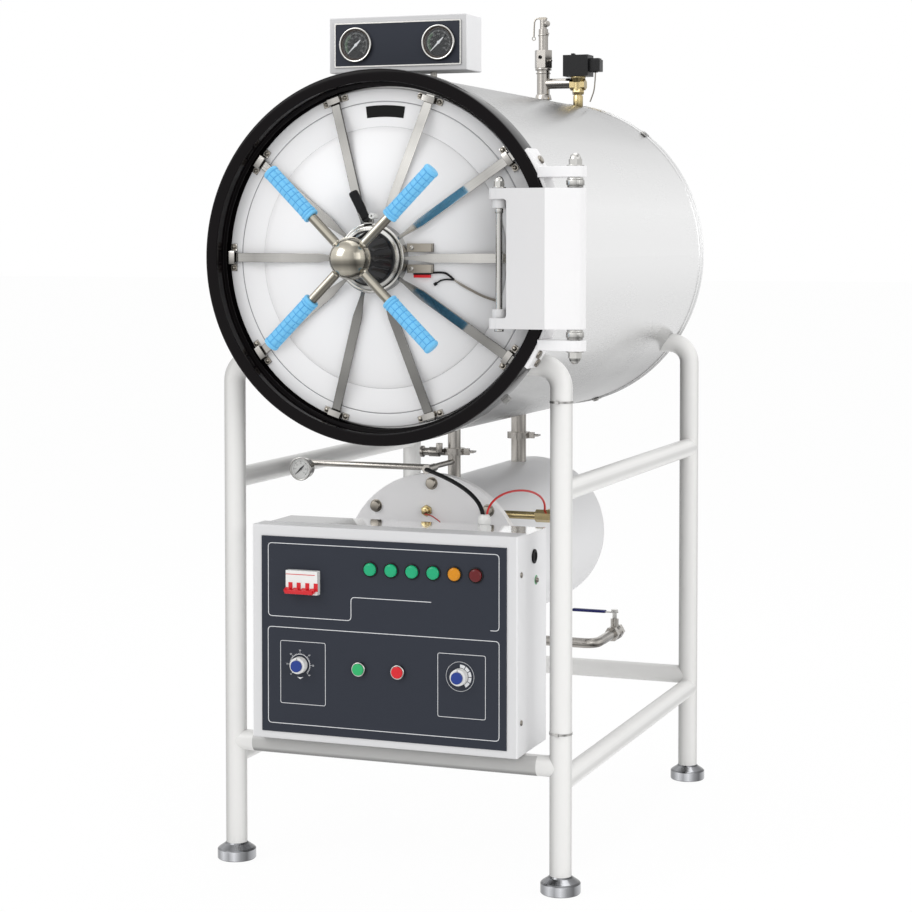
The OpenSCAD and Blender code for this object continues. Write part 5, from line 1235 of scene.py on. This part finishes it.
def build_stage():
    scene = bpy.context.scene
    mesh = bpy.data.meshes.new("studio_floor")
    mesh.from_pydata([(-40, -40, 0), (40, -40, 0), (40, 60, 0), (-40, 60, 0)], [], [(0, 1, 2, 3)])
    floor = bpy.data.objects.new("studio_floor", mesh)
    scene.collection.objects.link(floor)
    f = Finish(bpy.data.materials.new("studio floor"))
    f.surface(base_color=(0.95, 0.95, 0.95), roughness=0.9)
    glow = f.node("ShaderNodeEmission", None, {"Color": (1, 1, 1), "Strength": 1.0})
    body = Value(f, f.found("BSDF_PRINCIPLED").outputs[0])
    blend = f.node("ShaderNodeMixShader", None, {0: f.seen(FLOOR_GLOW), 1: body, 2: glow})
    f.join(blend, f.found("OUTPUT_MATERIAL").inputs[0])
    mesh.materials.append(f.owner)
    scene.world = bpy.data.worlds.new("studio")
    f = Finish(scene.world)
    back = f.found("BACKGROUND")
    f.join(f.seen(1.0) * (1.0 - ROOM_LIGHT) + ROOM_LIGHT, back.inputs["Strength"])
    f.join((1.0, 1.0, 1.0), back.inputs["Color"])
    for name, place, aim, size, energy in (
        ("key_light", (-2.6, -3.6, 3.6), (0, -0.2, 1.0), 2.8, 72),
        ("fill_light", (3.6, -2.4, 2.2), (0, 0, 0.9), 2.6, 32),
        ("top_light", (0.4, 0.6, 4.2), (0, 0, 0.8), 2.8, 44),
    ):
        light = bpy.data.lights.new(name, "AREA")
        light.size = size
        light.energy = energy
        lamp = bpy.data.objects.new(name, light)
        lamp.location = place
        lamp.rotation_euler = (Vector(aim) - Vector(place)).to_track_quat("-Z", "Y").to_euler()
        scene.collection.objects.link(lamp)
    camera = bpy.data.cameras.new("studio_camera")
    camera.lens = 86.95
    camera.sensor_width = 36
    camera.shift_y = -0.1327
    camera.clip_end = 200
    eye = bpy.data.objects.new("studio_camera", camera)
    eye.location = (1.6273, -4.4607, 1.2538)
    eye.rotation_euler = (math.radians(87.5), 0, math.radians(20.61))
    scene.collection.objects.link(eye)
    scene.camera = eye
    scene.view_settings.view_transform = "Standard"


# Add-on


def colour(name, words, default):
    return bpy.props.FloatVectorProperty(
        name=name, description=words, subtype="COLOR", size=3, min=0, max=1, default=default
    )


class AutoclaveColours(bpy.types.PropertyGroup):
    """Colours of the machine"""

    paint: colour("Paint", "Colour of the door and the tank", (0.84, 0.835, 0.84))
    stand: colour("Stand", "Colour of the stand", (0.83, 0.825, 0.81))
    panel: colour("Panel", "Colour of the control panel", (0.029, 0.033, 0.045))
    grip: colour("Grips", "Colour of the grips", (0.16, 0.5, 0.8))


def operator(name, label, words, *steps):
    def execute(self, context):
        for step in steps:
            step()
        return {"FINISHED"}

    return type(
        "AUTOCLAVE_OT_" + name,
        (bpy.types.Operator,),
        {"bl_idname": "autoclave." + name, "bl_label": label, "__doc__": words, "execute": execute},
    )


OPERATORS = [
    operator("finishes", "Finishes", "Makes every paint, metal and plastic", make_finishes),
    operator("stage", "Stage", "Sets the floor, lights and camera", build_stage),
    operator("vessel", "Vessel", "Finishes jacket and chamber and makes the ring", build_vessel, build_ring),
    operator("door", "Door", "Makes door, bars, clips and switch", build_door, build_bars, build_door_switch),
    operator("wheel", "Hand wheel", "Makes hub, wheel and lever", build_hub, build_wheel, build_interlock),
    operator("hinge", "Hinge", "Makes the double hinge", build_hinge),
    operator("gauges", "Gauges", "Makes the gauge box and the three gauges", build_gauges),
    operator("controls", "Control box", "Makes the control box and its fittings", build_control_box),
    operator("generator", "Steam generator", "Makes the flange, bolts and heater ends", build_generator),
    operator("pipes", "Pipes", "Finishes pipes and valves and makes the leads", build_pipes),
    operator("stand", "Stand", "Finishes the stand and its feet", build_stand),
]


class AUTOCLAVE_PT_pieces(bpy.types.Panel):
    """Lists the autoclave's pieces"""

    bl_label = "Autoclave"
    bl_idname = "AUTOCLAVE_PT_pieces"
    bl_space_type = "VIEW_3D"
    bl_region_type = "UI"
    bl_category = "Autoclave"

    def draw(self, context):
        for name in AutoclaveColours.__annotations__:
            self.layout.prop(context.scene.autoclave_colours, name)
        for kind in OPERATORS:
            self.layout.operator(kind.bl_idname)


CLASSES = [AutoclaveColours, *OPERATORS, AUTOCLAVE_PT_pieces]


def register():
    for kind in CLASSES:
        bpy.utils.register_class(kind)
    bpy.types.Scene.autoclave_colours = bpy.props.PointerProperty(type=AutoclaveColours)


def unregister():
    del bpy.types.Scene.autoclave_colours
    for kind in reversed(CLASSES):
        bpy.utils.unregister_class(kind)


def main():
    register()
    for kind in OPERATORS:
        getattr(bpy.ops.autoclave, kind.bl_idname.split(".")[1])()


if __name__ == "__main__":
    main()
